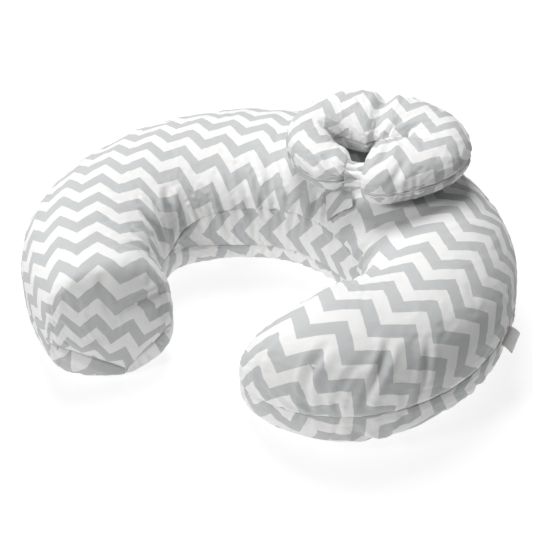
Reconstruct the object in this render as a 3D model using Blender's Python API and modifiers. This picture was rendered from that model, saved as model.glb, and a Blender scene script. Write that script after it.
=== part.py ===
"""Nursing pillow: a C-shaped cushion in a zipped chevron cover, with a small
ring-shaped head pillow resting on it. Metres, +Z up, open side towards -Y."""

import math

import bmesh
import bpy
import numpy as np
from mathutils import Matrix, Vector

COLLECTION = "nursing_pillow"
CUTTERS = "cutters"

# Big pillow, measured along and across the centreline of the stuffed tube
BACK_BEND = 4.40          # curvature of the round back, 1/m
BACK_HALF = 0.10          # half length of the stretch with that curvature
BACK_HALF_WIDTH = 0.1078
BACK_HEIGHT = 0.155
SECTION_POWER = 2.45      # superellipse power of the section
INNER_BACK_POWER = 2.74   # the same on the inner side of the back
SQUARE_SHARE = 0.75       # share of the arm over which that inner power fades
SOLE_POWER = 0.6          # added to the power under the seam: a flatter underside
FULL_HEIGHT_AT = 0.85     # share of the arm at which it reaches its own height
CAP_FALL = 0.8            # how fast the height closes compared with the width
SEAM_SHARE = 0.444        # height of the outer seam as a share of the height
TIP_LIFT = 0.0120         # how far the seam rises at the arm tips
SOLE_DEPTH = 0.003        # the round underside is pressed flat by this much
LEFT_ARM = dict(length=0.508, mid_bend=6.42, end_bend=5.46, mid_half=0.0900, end_half=0.0800,
                height=0.1602, cap=0.0427, cap_power=2.48, skew=0.386)
RIGHT_ARM = dict(length=0.541, mid_bend=7.52, end_bend=10.60, mid_half=0.0890, end_half=0.0825,
                 height=0.1636, cap=0.1270, cap_power=2.08, skew=0.029)
PILLOW_ROWS = 40
PANEL_COLUMNS = 8
CAP_SHARE = 0.30         # share of the rows that lie on the rounded arm ends
SEAM_COLUMN = 0.11       # angle of the first column beside a seam, radians

# Layers, as depths under the cover's outer surface
COVER_THICK = 0.0012
TAPE_DEPTH, TAPE_THICK = 0.0023, 0.0004
CASE_DEPTH, CASE_THICK = 0.0032, 0.0008
FILL_DEPTH = 0.0062
SEAM_GAP = 0.0004
SEAM_ANGLE = 0.006       # the same gap as an angle of the section
TIP_SPREAD = 4.0         # how much wider the gap gets at the arm tips

# Crescent gusset on the inner back
GUSSET_LEFT, GUSSET_RIGHT = 0.30, 0.27
GUSSET_UP, GUSSET_DOWN = 0.37, 0.11   # half heights as angles of the section
GUSSET_POWER = 3.0
GUSSET_ROWS, GUSSET_COLUMNS = 24, 2

# Zip in the outer back seam
ZIP_HALF = 0.094
ZIP_FADE = 0.020
ZIP_OPENING = 0.035      # angle that each panel stands back from the seam
TAPE_WIDTH_ANGLE = 0.10
TAPE_END = 0.008         # the tapes run on past the ends of the zip
COIL_RADIUS = 0.0008
COIL_OFFSET = 0.0010
COIL_DEPTH = 0.0004
COIL_STEPS = 44
COIL_END = 0.003         # the coils stop short of the ends of the zip
STOP_SIZE = (0.0020, 0.0020, 0.0050)
STOP_INSET = 0.0010
SLIDER_AT = 0.087        # where the slider rests along the centreline: closed
SLIDER_LENGTH, SLIDER_WIDTH = 0.0100, 0.0064
SLIDER_TOP, SLIDER_FLOOR = 0.0019, -0.0011
SLIDER_CHANNEL = 0.0044
SLIDER_PLAY = 0.0003     # clearance between the slider and the coils
BAIL_LENGTH, BAIL_WIDTH, BAIL_TOP = 0.0064, 0.0016, 0.0050
BAIL_FOOT = 0.0010
BAIL_HOLE_LENGTH, BAIL_HOLE_LOW, BAIL_HOLE_HIGH = 0.0036, 0.0019, 0.0040
PULL_AXIS = 0.0030       # distance of the pull's pin from the cover surface
PULL_PIN_RADIUS = 0.0005
PULL_WIDTH, PULL_THICK, PULL_LENGTH = 0.0050, 0.0010, 0.0220
PULL_EYE, PULL_EYE_HALF = 0.0042, 0.0012
PULL_BITE = 0.0006       # how far the joined pieces of the pull run into each other
THROUGH = 0.03           # a cutter this long passes right through the small zip parts

# Head pillow, an oval ring with a gap between its two arm ends
RING_CENTRE = (0.0740, -0.0310)
RING_TURN = math.radians(16.0)
RING_LONG, RING_SHORT = 0.0790, 0.0590
RING_GAP_AT = math.radians(-100.0)
RING_HALF_GAP = 0.0075
RING_FAR_HALF, RING_LEFT_HALF, RING_RIGHT_HALF = 0.0370, 0.0260, 0.0420
RING_FAR_HEIGHT, RING_LEFT_HEIGHT, RING_RIGHT_HEIGHT = 0.0610, 0.0500, 0.0600
RING_POWER = 2.4
RING_CAP, RING_CAP_POWER, RING_NECK = 0.030, 2.4, 0.38
RING_ROWS = 30
RING_COLUMNS = 6
RING_END_ROWS = 0.30     # share of the rows that lie on the two ends
RING_COVER_THICK = 0.0010
RING_FILL_DEPTH = 0.0028
DRAPE = 0.35             # how much of the crown's fall the head pillow follows
DRAPE_LIMIT = 1.15       # the fall stops growing this far out, in half widths
REST_GAP = 0.0015        # clearance between the two pillows
BRIDGE_HALF_LENGTH = 0.0060
BRIDGE_HALF_WIDTH, BRIDGE_HALF_HEIGHT = 0.0150, 0.0140
TUNNEL_HALF_WIDTH, TUNNEL_HALF_HEIGHT = 0.0070, 0.0118
ELASTIC_SIZE = (0.0110, 0.0012, 0.0200)

# Hook-and-loop tie flap beside the head pillow's left arm
FLAP_ROOT = (0.0488, -0.0768)
FLAP_TURN = math.radians(27.4)
FLAP_WIDTH, FLAP_LENGTH = 0.030, 0.030
FLAP_THICK = 0.0012
FLAP_LIFT = 0.0035       # height of its underside over the big pillow
FLAP_SLIT = 0.0004
ROOT_STRIP = 0.0035
PATCH_SIZE, PATCH_THICK = 0.020, 0.0008
PATCH_START = 0.006
HOOK_LIFT, LOOP_LIFT = 0.0021, 0.0007

# Blank side label
LABEL_AT = 0.290
LABEL_WIDTH, LABEL_REACH, LABEL_THICK = 0.034, 0.014, 0.0008
LABEL_GAP = 0.0006
LABEL_DROOP = 0.004


def smooth(t):
    t = np.clip(t, 0.0, 1.0)
    return t * t * (3.0 - 2.0 * t)


def three(u, start, middle, end):
    """A smooth run through three values at u = 0, 0.5 and 1."""
    first = start + (middle - start) * smooth(u * 2.0)
    second = middle + (end - middle) * smooth(u * 2.0 - 1.0)
    return np.where(u < 0.5, first, second)


def power_arc(angle, power):
    """Cosine and sine of a superellipse."""
    cosine, sine = np.cos(angle), np.sin(angle)
    share = 2.0 / power
    return np.sign(cosine) * np.abs(cosine) ** share, np.sign(sine) * np.abs(sine) ** share


class BigPillow:
    """Surface of the C-shaped pillow. A point is given by s, the distance along
    the centreline from the middle of the back (right arm positive), and by the
    angle t round the section: 0 at the outer seam, pi/2 on top, pi inside."""

    def __init__(self):
        self.s, self.x, self.y, self.heading = self.centreline()

    @staticmethod
    def arm_bend(s, arm):
        u = np.clip((s - BACK_HALF) / (arm["length"] - BACK_HALF), 0.0, 1.0)
        return three(u, BACK_BEND, arm["mid_bend"], arm["end_bend"])

    def centreline(self, steps=400):
        sides = []
        for arm, sign in ((LEFT_ARM, -1.0), (RIGHT_ARM, 1.0)):
            s = np.linspace(0.0, arm["length"], steps)
            bend = self.arm_bend(s, arm)
            step = s[1] - s[0]
            turn = np.concatenate([[0.0], np.cumsum((bend[1:] + bend[:-1]) / 2.0 * step)])
            across, back = np.cos(turn), -np.sin(turn)
            x = np.concatenate([[0.0], np.cumsum((across[1:] + across[:-1]) / 2.0 * step)])
            y = np.concatenate([[0.0], np.cumsum((back[1:] + back[:-1]) / 2.0 * step)])
            sides.append((sign * s, sign * x, y, -sign * turn))
        left, right = sides
        return [np.concatenate([a[::-1], b[1:]]) for a, b in zip(left, right)]

    def place(self, s):
        """Centreline point, heading."""
        return (np.interp(s, self.s, self.x), np.interp(s, self.s, self.y),
                np.interp(s, self.s, self.heading))

    @staticmethod
    def shape(s, depth=0.0):
        """Half width, height, tip factor and tip progress at s."""
        arm = RIGHT_ARM if s >= 0.0 else LEFT_ARM
        away = abs(s)
        u = np.clip((away - BACK_HALF) / (arm["length"] - BACK_HALF), 0.0, 1.0)
        half = float(three(u, BACK_HALF_WIDTH, arm["mid_half"], arm["end_half"]))
        height = BACK_HEIGHT + (arm["height"] - BACK_HEIGHT) * float(smooth(u / FULL_HEIGHT_AT))
        start = arm["length"] - arm["cap"]
        tip = np.clip((away - start) / (arm["cap"] - depth), 0.0, 1.0)
        close = max(0.0, 1.0 - tip ** arm["cap_power"]) ** (1.0 / arm["cap_power"])
        return half, height, close, float(smooth(tip))

    @staticmethod
    def inner_power(s):
        """Superellipse power on the inner side at s."""
        arm = RIGHT_ARM if s >= 0.0 else LEFT_ARM
        u = (abs(s) - BACK_HALF) / (arm["length"] - BACK_HALF) / SQUARE_SHARE
        return INNER_BACK_POWER - (INNER_BACK_POWER - SECTION_POWER) * float(smooth(u))

    def point(self, s, t, depth=0.0, shift=0.0):
        """Surface point at a depth under the cover's outside, shifted up by shift."""
        half, height, close, tip = self.shape(s, depth)
        arm = RIGHT_ARM if s >= 0.0 else LEFT_ARM
        skew = arm["skew"] * tip
        x, y, heading = self.place(s)
        power = self.inner_power(s) if math.cos(t) < 0.0 else SECTION_POWER
        across = power_arc(t, power)[0]
        rise = abs(power_arc(t, power if math.sin(t) >= 0.0 else power + SOLE_POWER)[1])
        low = close ** CAP_FALL
        seam = SEAM_SHARE * height * low + TIP_LIFT * (1.0 - low)
        if math.sin(t) >= 0.0:
            z = seam + ((1.0 - SEAM_SHARE) * height - depth) * low * rise
        else:
            z = seam - (SEAM_SHARE * height - depth) * low * rise
            z = max(z, min(seam, SOLE_DEPTH + depth * rise))
        offset = (half - depth) * close * across
        tangent = (math.cos(heading), math.sin(heading))
        outward = (-tangent[1], tangent[0])
        px = x + outward[0] * offset + tangent[0] * skew * offset
        py = y + outward[1] * offset + tangent[1] * skew * offset
        return Vector((px, py, z - SOLE_DEPTH + shift))

    def station(self, v, depth=0.0):
        """Row position for v from -1 to 1, closer together round the arm ends."""
        arm = RIGHT_ARM if v >= 0.0 else LEFT_ARM
        flat = arm["length"] - arm["cap"]
        if abs(v) <= 1.0 - CAP_SHARE:
            s = abs(v) / (1.0 - CAP_SHARE) * flat
        else:
            turn = (abs(v) - 1.0 + CAP_SHARE) / CAP_SHARE * math.pi / 2.0
            s = flat + (arm["cap"] - depth) * math.sin(turn)
        return math.copysign(s, v)

    def nearest(self, x, y):
        """Centreline position, and distance outwards as a share of the half width."""
        index = int(np.argmin((self.x - x) ** 2 + (self.y - y) ** 2))
        heading = self.heading[index]
        out = -(x - self.x[index]) * math.sin(heading) + (y - self.y[index]) * math.cos(heading)
        return self.s[index], out / self.shape(self.s[index])[0]

    def top(self, x, y):
        """Height of the cover's top surface over a point in plan."""
        s, share = self.nearest(x, y)
        height = self.shape(s)[1]
        power = self.inner_power(s) if share < 0.0 else SECTION_POWER
        rise = max(0.0, 1.0 - min(abs(share), 1.0) ** power) ** (1.0 / power)
        return height * (SEAM_SHARE + (1.0 - SEAM_SHARE) * rise) - SOLE_DEPTH

    def top_normal(self, x, y, reach=0.001):
        slope_x = (self.top(x + reach, y) - self.top(x - reach, y)) / (2.0 * reach)
        slope_y = (self.top(x, y + reach) - self.top(x, y - reach)) / (2.0 * reach)
        return Vector((-slope_x, -slope_y, 1.0)).normalized()

    def drape(self, x, y):
        """A gentler crown than the top surface, nowhere below it: what a soft
        thing lying across the pillow follows."""
        s, share = self.nearest(x, y)
        height = self.shape(s)[1]
        fall = DRAPE * min(abs(share), DRAPE_LIMIT) ** SECTION_POWER / INNER_BACK_POWER
        return height - SOLE_DEPTH - (1.0 - SEAM_SHARE) * height * fall


class HeadRing:
    """Surface of the head pillow, by v from 0 to 1 round the ring and t round
    the section (0 at the outer edge)."""

    def __init__(self, pillow, steps=600):
        self.pillow = pillow
        mean = (RING_LONG + RING_SHORT) / 2.0
        half_gap = RING_HALF_GAP / mean
        first = RING_GAP_AT + half_gap
        self.angle = np.linspace(first, first + 2.0 * (math.pi - half_gap), steps)
        x, y = RING_LONG * np.cos(self.angle), RING_SHORT * np.sin(self.angle)
        self.arc = np.concatenate([[0.0], np.cumsum(np.hypot(np.diff(x), np.diff(y)))])
        self.length = self.arc[-1]

    def station(self, v):
        """Distance along the ring, closer together at the two ends."""
        away = min(v, 1.0 - v) * 2.0
        if away < RING_END_ROWS:
            s = RING_CAP * (1.0 - math.cos(away / RING_END_ROWS * math.pi / 2.0))
        else:
            share = (away - RING_END_ROWS) / (1.0 - RING_END_ROWS)
            s = RING_CAP + share * (self.length / 2.0 - RING_CAP)
        return s if v < 0.5 else self.length - s

    def plan(self, arc, out):
        """Plan position at a distance along the ring and outward from it."""
        angle = float(np.interp(arc, self.arc, self.angle))
        x, y = RING_LONG * math.cos(angle), RING_SHORT * math.sin(angle)
        dx, dy = -RING_LONG * math.sin(angle), RING_SHORT * math.cos(angle)
        size = math.hypot(dx, dy)
        x, y = x + dy / size * out, y - dx / size * out
        cosine, sine = math.cos(RING_TURN), math.sin(RING_TURN)
        return (RING_CENTRE[0] + x * cosine - y * sine, RING_CENTRE[1] + x * sine + y * cosine)

    def shape(self, arc, depth=0.0):
        u = arc / self.length
        half = float(three(u, RING_RIGHT_HALF, RING_FAR_HALF, RING_LEFT_HALF))
        height = float(three(u, RING_RIGHT_HEIGHT, RING_FAR_HEIGHT, RING_LEFT_HEIGHT))
        end = min(arc, self.length - arc)
        tip = np.clip(1.0 - (end - depth) / (RING_CAP - depth), 0.0, 1.0)
        close = RING_NECK + (1.0 - RING_NECK) * math.sqrt(max(0.0, 1.0 - tip ** RING_CAP_POWER))
        return half * close, height * close

    def point(self, v, t, depth=0.0, shift=0.0, pole=False):
        arc = min(max(self.station(v), depth), self.length - depth)
        half, height = self.shape(arc, depth)
        across, rise = power_arc(t, RING_POWER)
        offset = 0.0 if pole else (half - depth) * across
        x, y = self.plan(arc, offset)
        lift = 0.0 if pole else (height / 2.0 - depth) * rise
        return Vector((x, y, self.base(x, y) + lift + shift))

    def base(self, x, y):
        """Height of the ring's equator seam."""
        return self.pillow.drape(x, y) + REST_GAP + RING_FAR_HEIGHT / 2.0


def make_material(name, color, roughness, metallic=0.0):
    material = bpy.data.materials.new(name)
    material.use_nodes = True
    shader = material.node_tree.nodes["Principled BSDF"]
    shader.inputs["Base Color"].default_value = (*color, 1.0)
    shader.inputs["Roughness"].default_value = roughness
    shader.inputs["Metallic"].default_value = metallic
    material.diffuse_color = (*color, 1.0)
    return material


def link(name, mesh, material, smooth_shaded=True):
    obj = bpy.data.objects.new(name, mesh)
    bpy.data.collections[COLLECTION].objects.link(obj)
    mesh.materials.append(material)
    if smooth_shaded:
        mesh.shade_smooth()
        mesh.set_sharp_from_angle(angle=math.radians(40.0))
    return obj


def mapped_grid(name, rows, columns, place, material, thickness=0.0):
    """A grid whose corners are moved to place(v, w), v and w from 0 to 1, and
    thickened inwards. Rows that meet in one point are merged."""
    bm = bmesh.new()
    bmesh.ops.create_grid(bm, x_segments=rows, y_segments=columns, size=1.0)
    for vert in bm.verts:
        vert.co = place((vert.co.x + 1.0) / 2.0, (vert.co.y + 1.0) / 2.0)
    bmesh.ops.remove_doubles(bm, verts=bm.verts, dist=1e-6)
    mesh = bpy.data.meshes.new(name)
    bm.to_mesh(mesh)
    bm.free()
    obj = link(name, mesh, material)
    if thickness:
        solidify = obj.modifiers.new("thickness", "SOLIDIFY")
        solidify.thickness = thickness
        solidify.offset = -1.0
    return obj


def mapped_ball(name, rows, columns, place, material):
    """A UV sphere whose rings become the sections of a closed tube, with its
    corners at place(v, angle, whether the corner is one of the two end points)."""
    bm = bmesh.new()
    bmesh.ops.create_uvsphere(bm, u_segments=columns, v_segments=rows, radius=1.0)
    for vert in bm.verts:
        v = math.acos(max(-1.0, min(1.0, vert.co.z))) / math.pi
        at_end = v < 1e-4 or v > 1.0 - 1e-4
        vert.co = place(v, math.atan2(vert.co.y, vert.co.x), at_end)
    bmesh.ops.remove_doubles(bm, verts=bm.verts, dist=1e-6)
    bmesh.ops.recalc_face_normals(bm, faces=bm.faces)
    mesh = bpy.data.meshes.new(name)
    bm.to_mesh(mesh)
    bm.free()
    return link(name, mesh, material)


def adopt(name, size, material):
    """Name, scale, paint and file the primitive that was just added."""
    obj = bpy.context.active_object
    obj.name = name
    obj.data.transform(Matrix.Diagonal((*size, 1.0)))
    obj.data.materials.append(material)
    for collection in list(obj.users_collection):
        collection.objects.unlink(obj)
    bpy.data.collections[COLLECTION].objects.link(obj)
    return obj


def box(name, size, material, bevel=0.0):
    """A box primitive of the given size about its own origin."""
    bpy.ops.mesh.primitive_cube_add(size=1.0)
    obj = adopt(name, size, material)
    if bevel:
        rounding = obj.modifiers.new("edges", "BEVEL")
        rounding.width = bevel
        rounding.segments = 2
    return obj


def cutter(name, size, centre):
    obj = box(name, size, bpy.data.materials["cutter"])
    obj.data.transform(Matrix.Translation(centre))
    bpy.data.collections[COLLECTION].objects.unlink(obj)
    bpy.data.collections[CUTTERS].objects.link(obj)
    obj.hide_render = True
    obj.display_type = "WIRE"
    return obj


def boolean(target, tool, operation="DIFFERENCE"):
    modifier = target.modifiers.new(tool.name, "BOOLEAN")
    modifier.object = tool
    modifier.operation = operation
    modifier.solver = "EXACT"


def zip_window(s):
    """1 along the zip, 0 away from it."""
    return float(smooth((ZIP_HALF + ZIP_FADE - abs(s)) / ZIP_FADE))


def gusset_share(s):
    end = GUSSET_RIGHT if s >= 0.0 else GUSSET_LEFT
    return max(0.0, 1.0 - (abs(s) / end) ** GUSSET_POWER)


def panel_angle(s, column, upper, zipped=False):
    """Section angle of a column edge, 0 at the outer seam. The cover panel ends
    at PANEL_COLUMNS, where the gusset starts; inner layers go on to the inner seam."""
    start = SEAM_ANGLE + (ZIP_OPENING - SEAM_ANGLE) * (zip_window(s) if zipped else 0.0)
    cut = (GUSSET_UP if upper else GUSSET_DOWN) * gusset_share(s)
    end = math.pi - SEAM_ANGLE - cut
    last = end - (SEAM_COLUMN - SEAM_ANGLE)
    inner = PANEL_COLUMNS - 1
    knots = [0, 1, inner, PANEL_COLUMNS, PANEL_COLUMNS + GUSSET_COLUMNS]
    angles = [start, SEAM_COLUMN, last, end, math.pi - SEAM_ANGLE]
    angle = float(np.interp(column, knots, angles))
    return angle if upper else -angle


def pillow_panel(pillow, name, upper, depth, thickness, material, whole):
    columns = PANEL_COLUMNS + (GUSSET_COLUMNS if whole else 0)

    def place(v, w):
        s = pillow.station(2.0 * v - 1.0, depth)
        tip = v < 1e-6 or v > 1.0 - 1e-6
        angle = panel_angle(s, 1 if tip else w * columns, upper, not whole)
        gap = SEAM_GAP / 2.0 * (1.0 + TIP_SPREAD * (1.0 - pillow.shape(s, depth)[2]))
        return pillow.point(s, angle, depth, gap if upper else -gap)
    obj = mapped_grid(name, PILLOW_ROWS, columns, place, material, thickness)
    face_outwards(obj, upper)
    return obj


def face_outwards(obj, upper):
    """Turn an open panel's faces so that Solidify thickens it inwards."""
    bm = bmesh.new()
    bm.from_mesh(obj.data)
    total = sum(face.normal.z * face.calc_area() for face in bm.faces)
    if (total > 0.0) != upper:
        bmesh.ops.reverse_faces(bm, faces=bm.faces)
    bm.to_mesh(obj.data)
    bm.free()


def make_main_pillow(pillow, paint):
    for name, upper in (("main_cover_top", True), ("main_cover_bottom", False)):
        pillow_panel(pillow, name, upper, 0.0, COVER_THICK, paint["chevron_cotton"], False)
    for name, upper in (("main_case_top", True), ("main_case_bottom", False)):
        pillow_panel(pillow, name, upper, CASE_DEPTH, CASE_THICK, paint["case_cotton"], True)

    def gusset_place(v, w):
        s = -GUSSET_LEFT + v * (GUSSET_LEFT + GUSSET_RIGHT)
        share = gusset_share(s)
        reach = GUSSET_UP if w < 0.5 else GUSSET_DOWN
        angle = math.pi + reach * share * (2.0 * w - 1.0)
        return pillow.point(s, angle)
    gusset = mapped_grid("main_cover_gusset", GUSSET_ROWS, 2 * GUSSET_COLUMNS, gusset_place,
                         paint["chevron_cotton"], COVER_THICK)
    point_to(gusset, Vector((0.0, -1.0, 0.0)))

    columns = PANEL_COLUMNS + GUSSET_COLUMNS

    def fill_place(v, angle, _):
        s = pillow.station(2.0 * v - 1.0, FILL_DEPTH)
        column = min(columns, abs(angle) / math.pi * columns)
        return pillow.point(s, panel_angle(s, column, angle >= 0.0), FILL_DEPTH)
    mapped_ball("main_fill", PILLOW_ROWS, 2 * columns, fill_place, paint["fibre"])


def point_to(obj, direction):
    """Turn an open strip's faces towards a direction."""
    bm = bmesh.new()
    bm.from_mesh(obj.data)
    total = sum((face.normal * face.calc_area() for face in bm.faces), Vector())
    if total.dot(direction) < 0.0:
        bmesh.ops.reverse_faces(bm, faces=bm.faces)
    bm.to_mesh(obj.data)
    bm.free()


def frame_of(along, outward, up, origin):
    """A matrix with the given axes and origin."""
    frame = Matrix.Identity(4)
    for column, axis in enumerate((along, outward, up, origin)):
        for row in range(3):
            frame[row][column] = axis[row]
    return frame


def seam_frame(pillow, s, depth=0.0, rise=0.0):
    """Frame on the outer seam: +X along the seam, +Y outwards, +Z up."""
    x, y, heading = pillow.place(s)
    half, height, _, _ = pillow.shape(s)
    outward = Vector((-math.sin(heading), math.cos(heading), 0.0))
    along = Vector((math.cos(heading), math.sin(heading), 0.0))
    origin = Vector((x, y, SEAM_SHARE * height - SOLE_DEPTH + rise)) + outward * (half - depth)
    return frame_of(along, outward, Vector((0.0, 0.0, 1.0)), origin)


def make_zip(pillow, paint):
    for name, sign in (("zip_tape_upper", 1.0), ("zip_tape_lower", -1.0)):
        def place(v, w, sign=sign):
            s = (2.0 * v - 1.0) * (ZIP_HALF + TAPE_END)
            angle = sign * (SEAM_ANGLE + w * (TAPE_WIDTH_ANGLE - SEAM_ANGLE))
            return pillow.point(s, angle, TAPE_DEPTH, sign * SEAM_GAP / 2.0)
        tape = mapped_grid(name, 18, 1, place, paint["zip_tape"], TAPE_THICK)
        point_to(tape, Vector((0.0, 1.0, 0.0)))
    for name, sign in (("zip_coil_upper", 1.0), ("zip_coil_lower", -1.0)):
        curve = bpy.data.curves.new(name, "CURVE")
        curve.dimensions = "3D"
        curve.bevel_depth = COIL_RADIUS
        curve.bevel_resolution = 1
        curve.use_fill_caps = True
        spline = curve.splines.new("POLY")
        spline.points.add(COIL_STEPS)
        for index, point in enumerate(spline.points):
            s = (2.0 * index / COIL_STEPS - 1.0) * (ZIP_HALF - COIL_END)
            spot = seam_frame(pillow, s, COIL_DEPTH, sign * COIL_OFFSET).translation
            point.co = (*spot, 1.0)
        curve.materials.append(paint["zip_coil"])
        obj = bpy.data.objects.new(name, curve)
        bpy.data.collections[COLLECTION].objects.link(obj)
    for name, sign in (("zip_stop_left", -1.0), ("zip_stop_right", 1.0)):
        stop = box(name, STOP_SIZE, paint["zip_metal"], 0.0003)
        stop.matrix_world = seam_frame(pillow, sign * (ZIP_HALF - STOP_INSET), COIL_DEPTH)
    make_slider(pillow, paint)


def make_slider(pillow, paint):
    body_height = SLIDER_TOP - SLIDER_FLOOR
    slider = box("zip_slider", (SLIDER_LENGTH, body_height, SLIDER_WIDTH), paint["zip_metal"], 0.0004)
    slider.data.transform(Matrix.Translation((0.0, (SLIDER_TOP + SLIDER_FLOOR) / 2.0, 0.0)))
    channel_top = COIL_RADIUS - COIL_DEPTH + SLIDER_PLAY
    channel = cutter("slider_channel", (THROUGH, THROUGH, SLIDER_CHANNEL),
                     (0.0, channel_top - THROUGH / 2.0, 0.0))
    bail = cutter("slider_bail", (BAIL_LENGTH, BAIL_TOP - BAIL_FOOT, BAIL_WIDTH),
                  (0.0, (BAIL_TOP + BAIL_FOOT) / 2.0, 0.0))
    hole = cutter("slider_bail_hole", (BAIL_HOLE_LENGTH, BAIL_HOLE_HIGH - BAIL_HOLE_LOW, THROUGH),
                  (0.0, (BAIL_HOLE_HIGH + BAIL_HOLE_LOW) / 2.0, 0.0))
    boolean(slider, channel)
    boolean(slider, bail, "UNION")
    boolean(slider, hole)

    body = PULL_LENGTH - PULL_EYE
    pull = box("zip_pull", (body, PULL_THICK, PULL_WIDTH), paint["zip_metal"])
    pull.data.transform(Matrix.Translation((-(PULL_EYE + body / 2.0), 0.0, 0.0)))
    arm_width = PULL_WIDTH / 2.0 - PULL_EYE_HALF
    for sign in (-1.0, 1.0):
        arm = cutter("pull_arm_" + ("lower" if sign < 0.0 else "upper"),
                     (PULL_EYE + 2.0 * PULL_BITE, PULL_THICK, arm_width),
                     (-PULL_EYE / 2.0, 0.0, sign * (PULL_EYE_HALF + arm_width / 2.0)))
        boolean(pull, arm, "UNION")
    pin_size = (2.0 * PULL_PIN_RADIUS, 2.0 * PULL_PIN_RADIUS, 2.0 * PULL_EYE_HALF + PULL_BITE)
    pin = cutter("pull_pin", pin_size, (0.0, 0.0, 0.0))
    boolean(pull, pin, "UNION")

    frame = seam_frame(pillow, SLIDER_AT)
    slider.matrix_world = frame
    for tool in (channel, bail, hole):
        tool.matrix_world = frame
    hinge = seam_frame(pillow, SLIDER_AT, -PULL_AXIS)
    pull.matrix_world = hinge
    for tool in bpy.data.collections[CUTTERS].objects:
        if tool.name.startswith("pull_"):
            tool.matrix_world = hinge


def make_label(pillow, paint):
    frame = seam_frame(pillow, LABEL_AT)

    def place(v, w):
        along = (v - 0.5) * LABEL_WIDTH
        out = LABEL_GAP + w * LABEL_REACH
        return frame @ Vector((along, out, LABEL_THICK / 2.0 - LABEL_DROOP * w * w))
    label = mapped_grid("side_label", 1, 4, place, paint["label_satin"], LABEL_THICK)
    point_to(label, Vector((0.0, 0.0, 1.0)))


def make_head_pillow(pillow, paint):
    ring = HeadRing(pillow)
    for name, sign in (("head_cover_top", 1.0), ("head_cover_bottom", -1.0)):
        def place(v, w, sign=sign):
            row = (v * RING_ROWS - 1.0) / (RING_ROWS - 2.0)
            pole = row < -1e-6 or row > 1.0 + 1e-6
            angle = sign * (SEAM_ANGLE + w * (math.pi - 2.0 * SEAM_ANGLE))
            return ring.point(min(max(row, 0.0), 1.0), angle, 0.0, sign * SEAM_GAP / 2.0, pole)
        panel = mapped_grid(name, RING_ROWS, RING_COLUMNS, place, paint["chevron_cotton"],
                            RING_COVER_THICK)
        face_outwards(panel, sign > 0.0)

    def fill_place(v, angle, pole):
        row = (v * RING_ROWS - 1.0) / (RING_ROWS - 2.0)
        return ring.point(min(max(row, 0.0), 1.0), angle, RING_FILL_DEPTH, 0.0, pole)
    mapped_ball("head_fill", RING_ROWS, 2 * RING_COLUMNS, fill_place, paint["fibre"])
    make_bridge(ring, paint)


def make_bridge(ring, paint):
    """Gathered casing across the gap, a short oval tube, with elastic inside."""
    first, second = Vector(ring.plan(0.0, 0.0)), Vector(ring.plan(ring.length, 0.0))
    middle = (first + second) / 2.0
    along = (first - second).normalized()
    frame = frame_of((along.x, along.y, 0.0), (-along.y, along.x, 0.0), (0.0, 0.0, 1.0),
                     (middle.x, middle.y, ring.base(middle.x, middle.y)))
    bpy.ops.mesh.primitive_cylinder_add(vertices=24, radius=1.0, depth=2.0,
                                        rotation=(0.0, math.pi / 2.0, 0.0))
    bpy.ops.object.transform_apply(rotation=True)
    casing = adopt("head_bridge_casing", (BRIDGE_HALF_LENGTH, BRIDGE_HALF_WIDTH, BRIDGE_HALF_HEIGHT),
                   paint["chevron_cotton"])
    tunnel = cutter("bridge_tunnel", (THROUGH, 2.0 * TUNNEL_HALF_WIDTH, 2.0 * TUNNEL_HALF_HEIGHT),
                    (0.0, 0.0, 0.0))
    boolean(casing, tunnel)
    elastic = box("head_bridge_elastic", ELASTIC_SIZE, paint["elastic"], 0.0003)
    for obj in (casing, tunnel, elastic):
        obj.matrix_world = frame


def make_tie_flap(pillow, paint):
    across = Vector((math.cos(FLAP_TURN), math.sin(FLAP_TURN)))
    down = Vector((across.y, -across.x))

    def draped(lift, width, start, end):
        def place(v, w):
            spot = Vector(FLAP_ROOT) + across * (v - 0.5) * width + down * (start + (end - start) * w)
            ground = Vector((spot.x, spot.y, pillow.top(spot.x, spot.y)))
            return ground + pillow.top_normal(spot.x, spot.y) * lift
        return place
    patch_end = PATCH_START + PATCH_SIZE
    pieces = (
        ("loop_patch", LOOP_LIFT, PATCH_SIZE, PATCH_THICK, PATCH_START, patch_end, "hook_and_loop"),
        ("hook_patch", HOOK_LIFT, PATCH_SIZE, PATCH_THICK, PATCH_START, patch_end, "hook_and_loop"),
        ("tie_flap", FLAP_LIFT, FLAP_WIDTH, FLAP_THICK, FLAP_SLIT, FLAP_LENGTH, "chevron_cotton"),
        ("tie_tab_root", FLAP_LIFT, FLAP_WIDTH, FLAP_THICK, -ROOT_STRIP, 0.0, "chevron_cotton"),
    )
    for name, lift, width, thick, start, end, slot in pieces:
        strip = mapped_grid(name, 4, 4, draped(lift + thick, width, start, end), paint[slot], thick)
        point_to(strip, Vector((0.0, 0.0, 1.0)))


def stand_on_origin():
    """Put the middle of the assembly's footprint on the origin."""
    bpy.context.view_layer.update()
    graph = bpy.context.evaluated_depsgraph_get()
    corners = []
    for obj in bpy.data.collections[COLLECTION].objects:
        seen = obj.evaluated_get(graph)
        mesh = seen.to_mesh()
        corners += [obj.matrix_world @ vert.co for vert in mesh.vertices]
        seen.to_mesh_clear()
    low = [min(c[axis] for c in corners) for axis in range(3)]
    high = [max(c[axis] for c in corners) for axis in range(3)]
    shift = Vector((-(low[0] + high[0]) / 2.0, -(low[1] + high[1]) / 2.0, -low[2]))
    for group in (COLLECTION, CUTTERS):
        for obj in bpy.data.collections[group].objects:
            obj.matrix_world = Matrix.Translation(shift) @ obj.matrix_world


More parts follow.
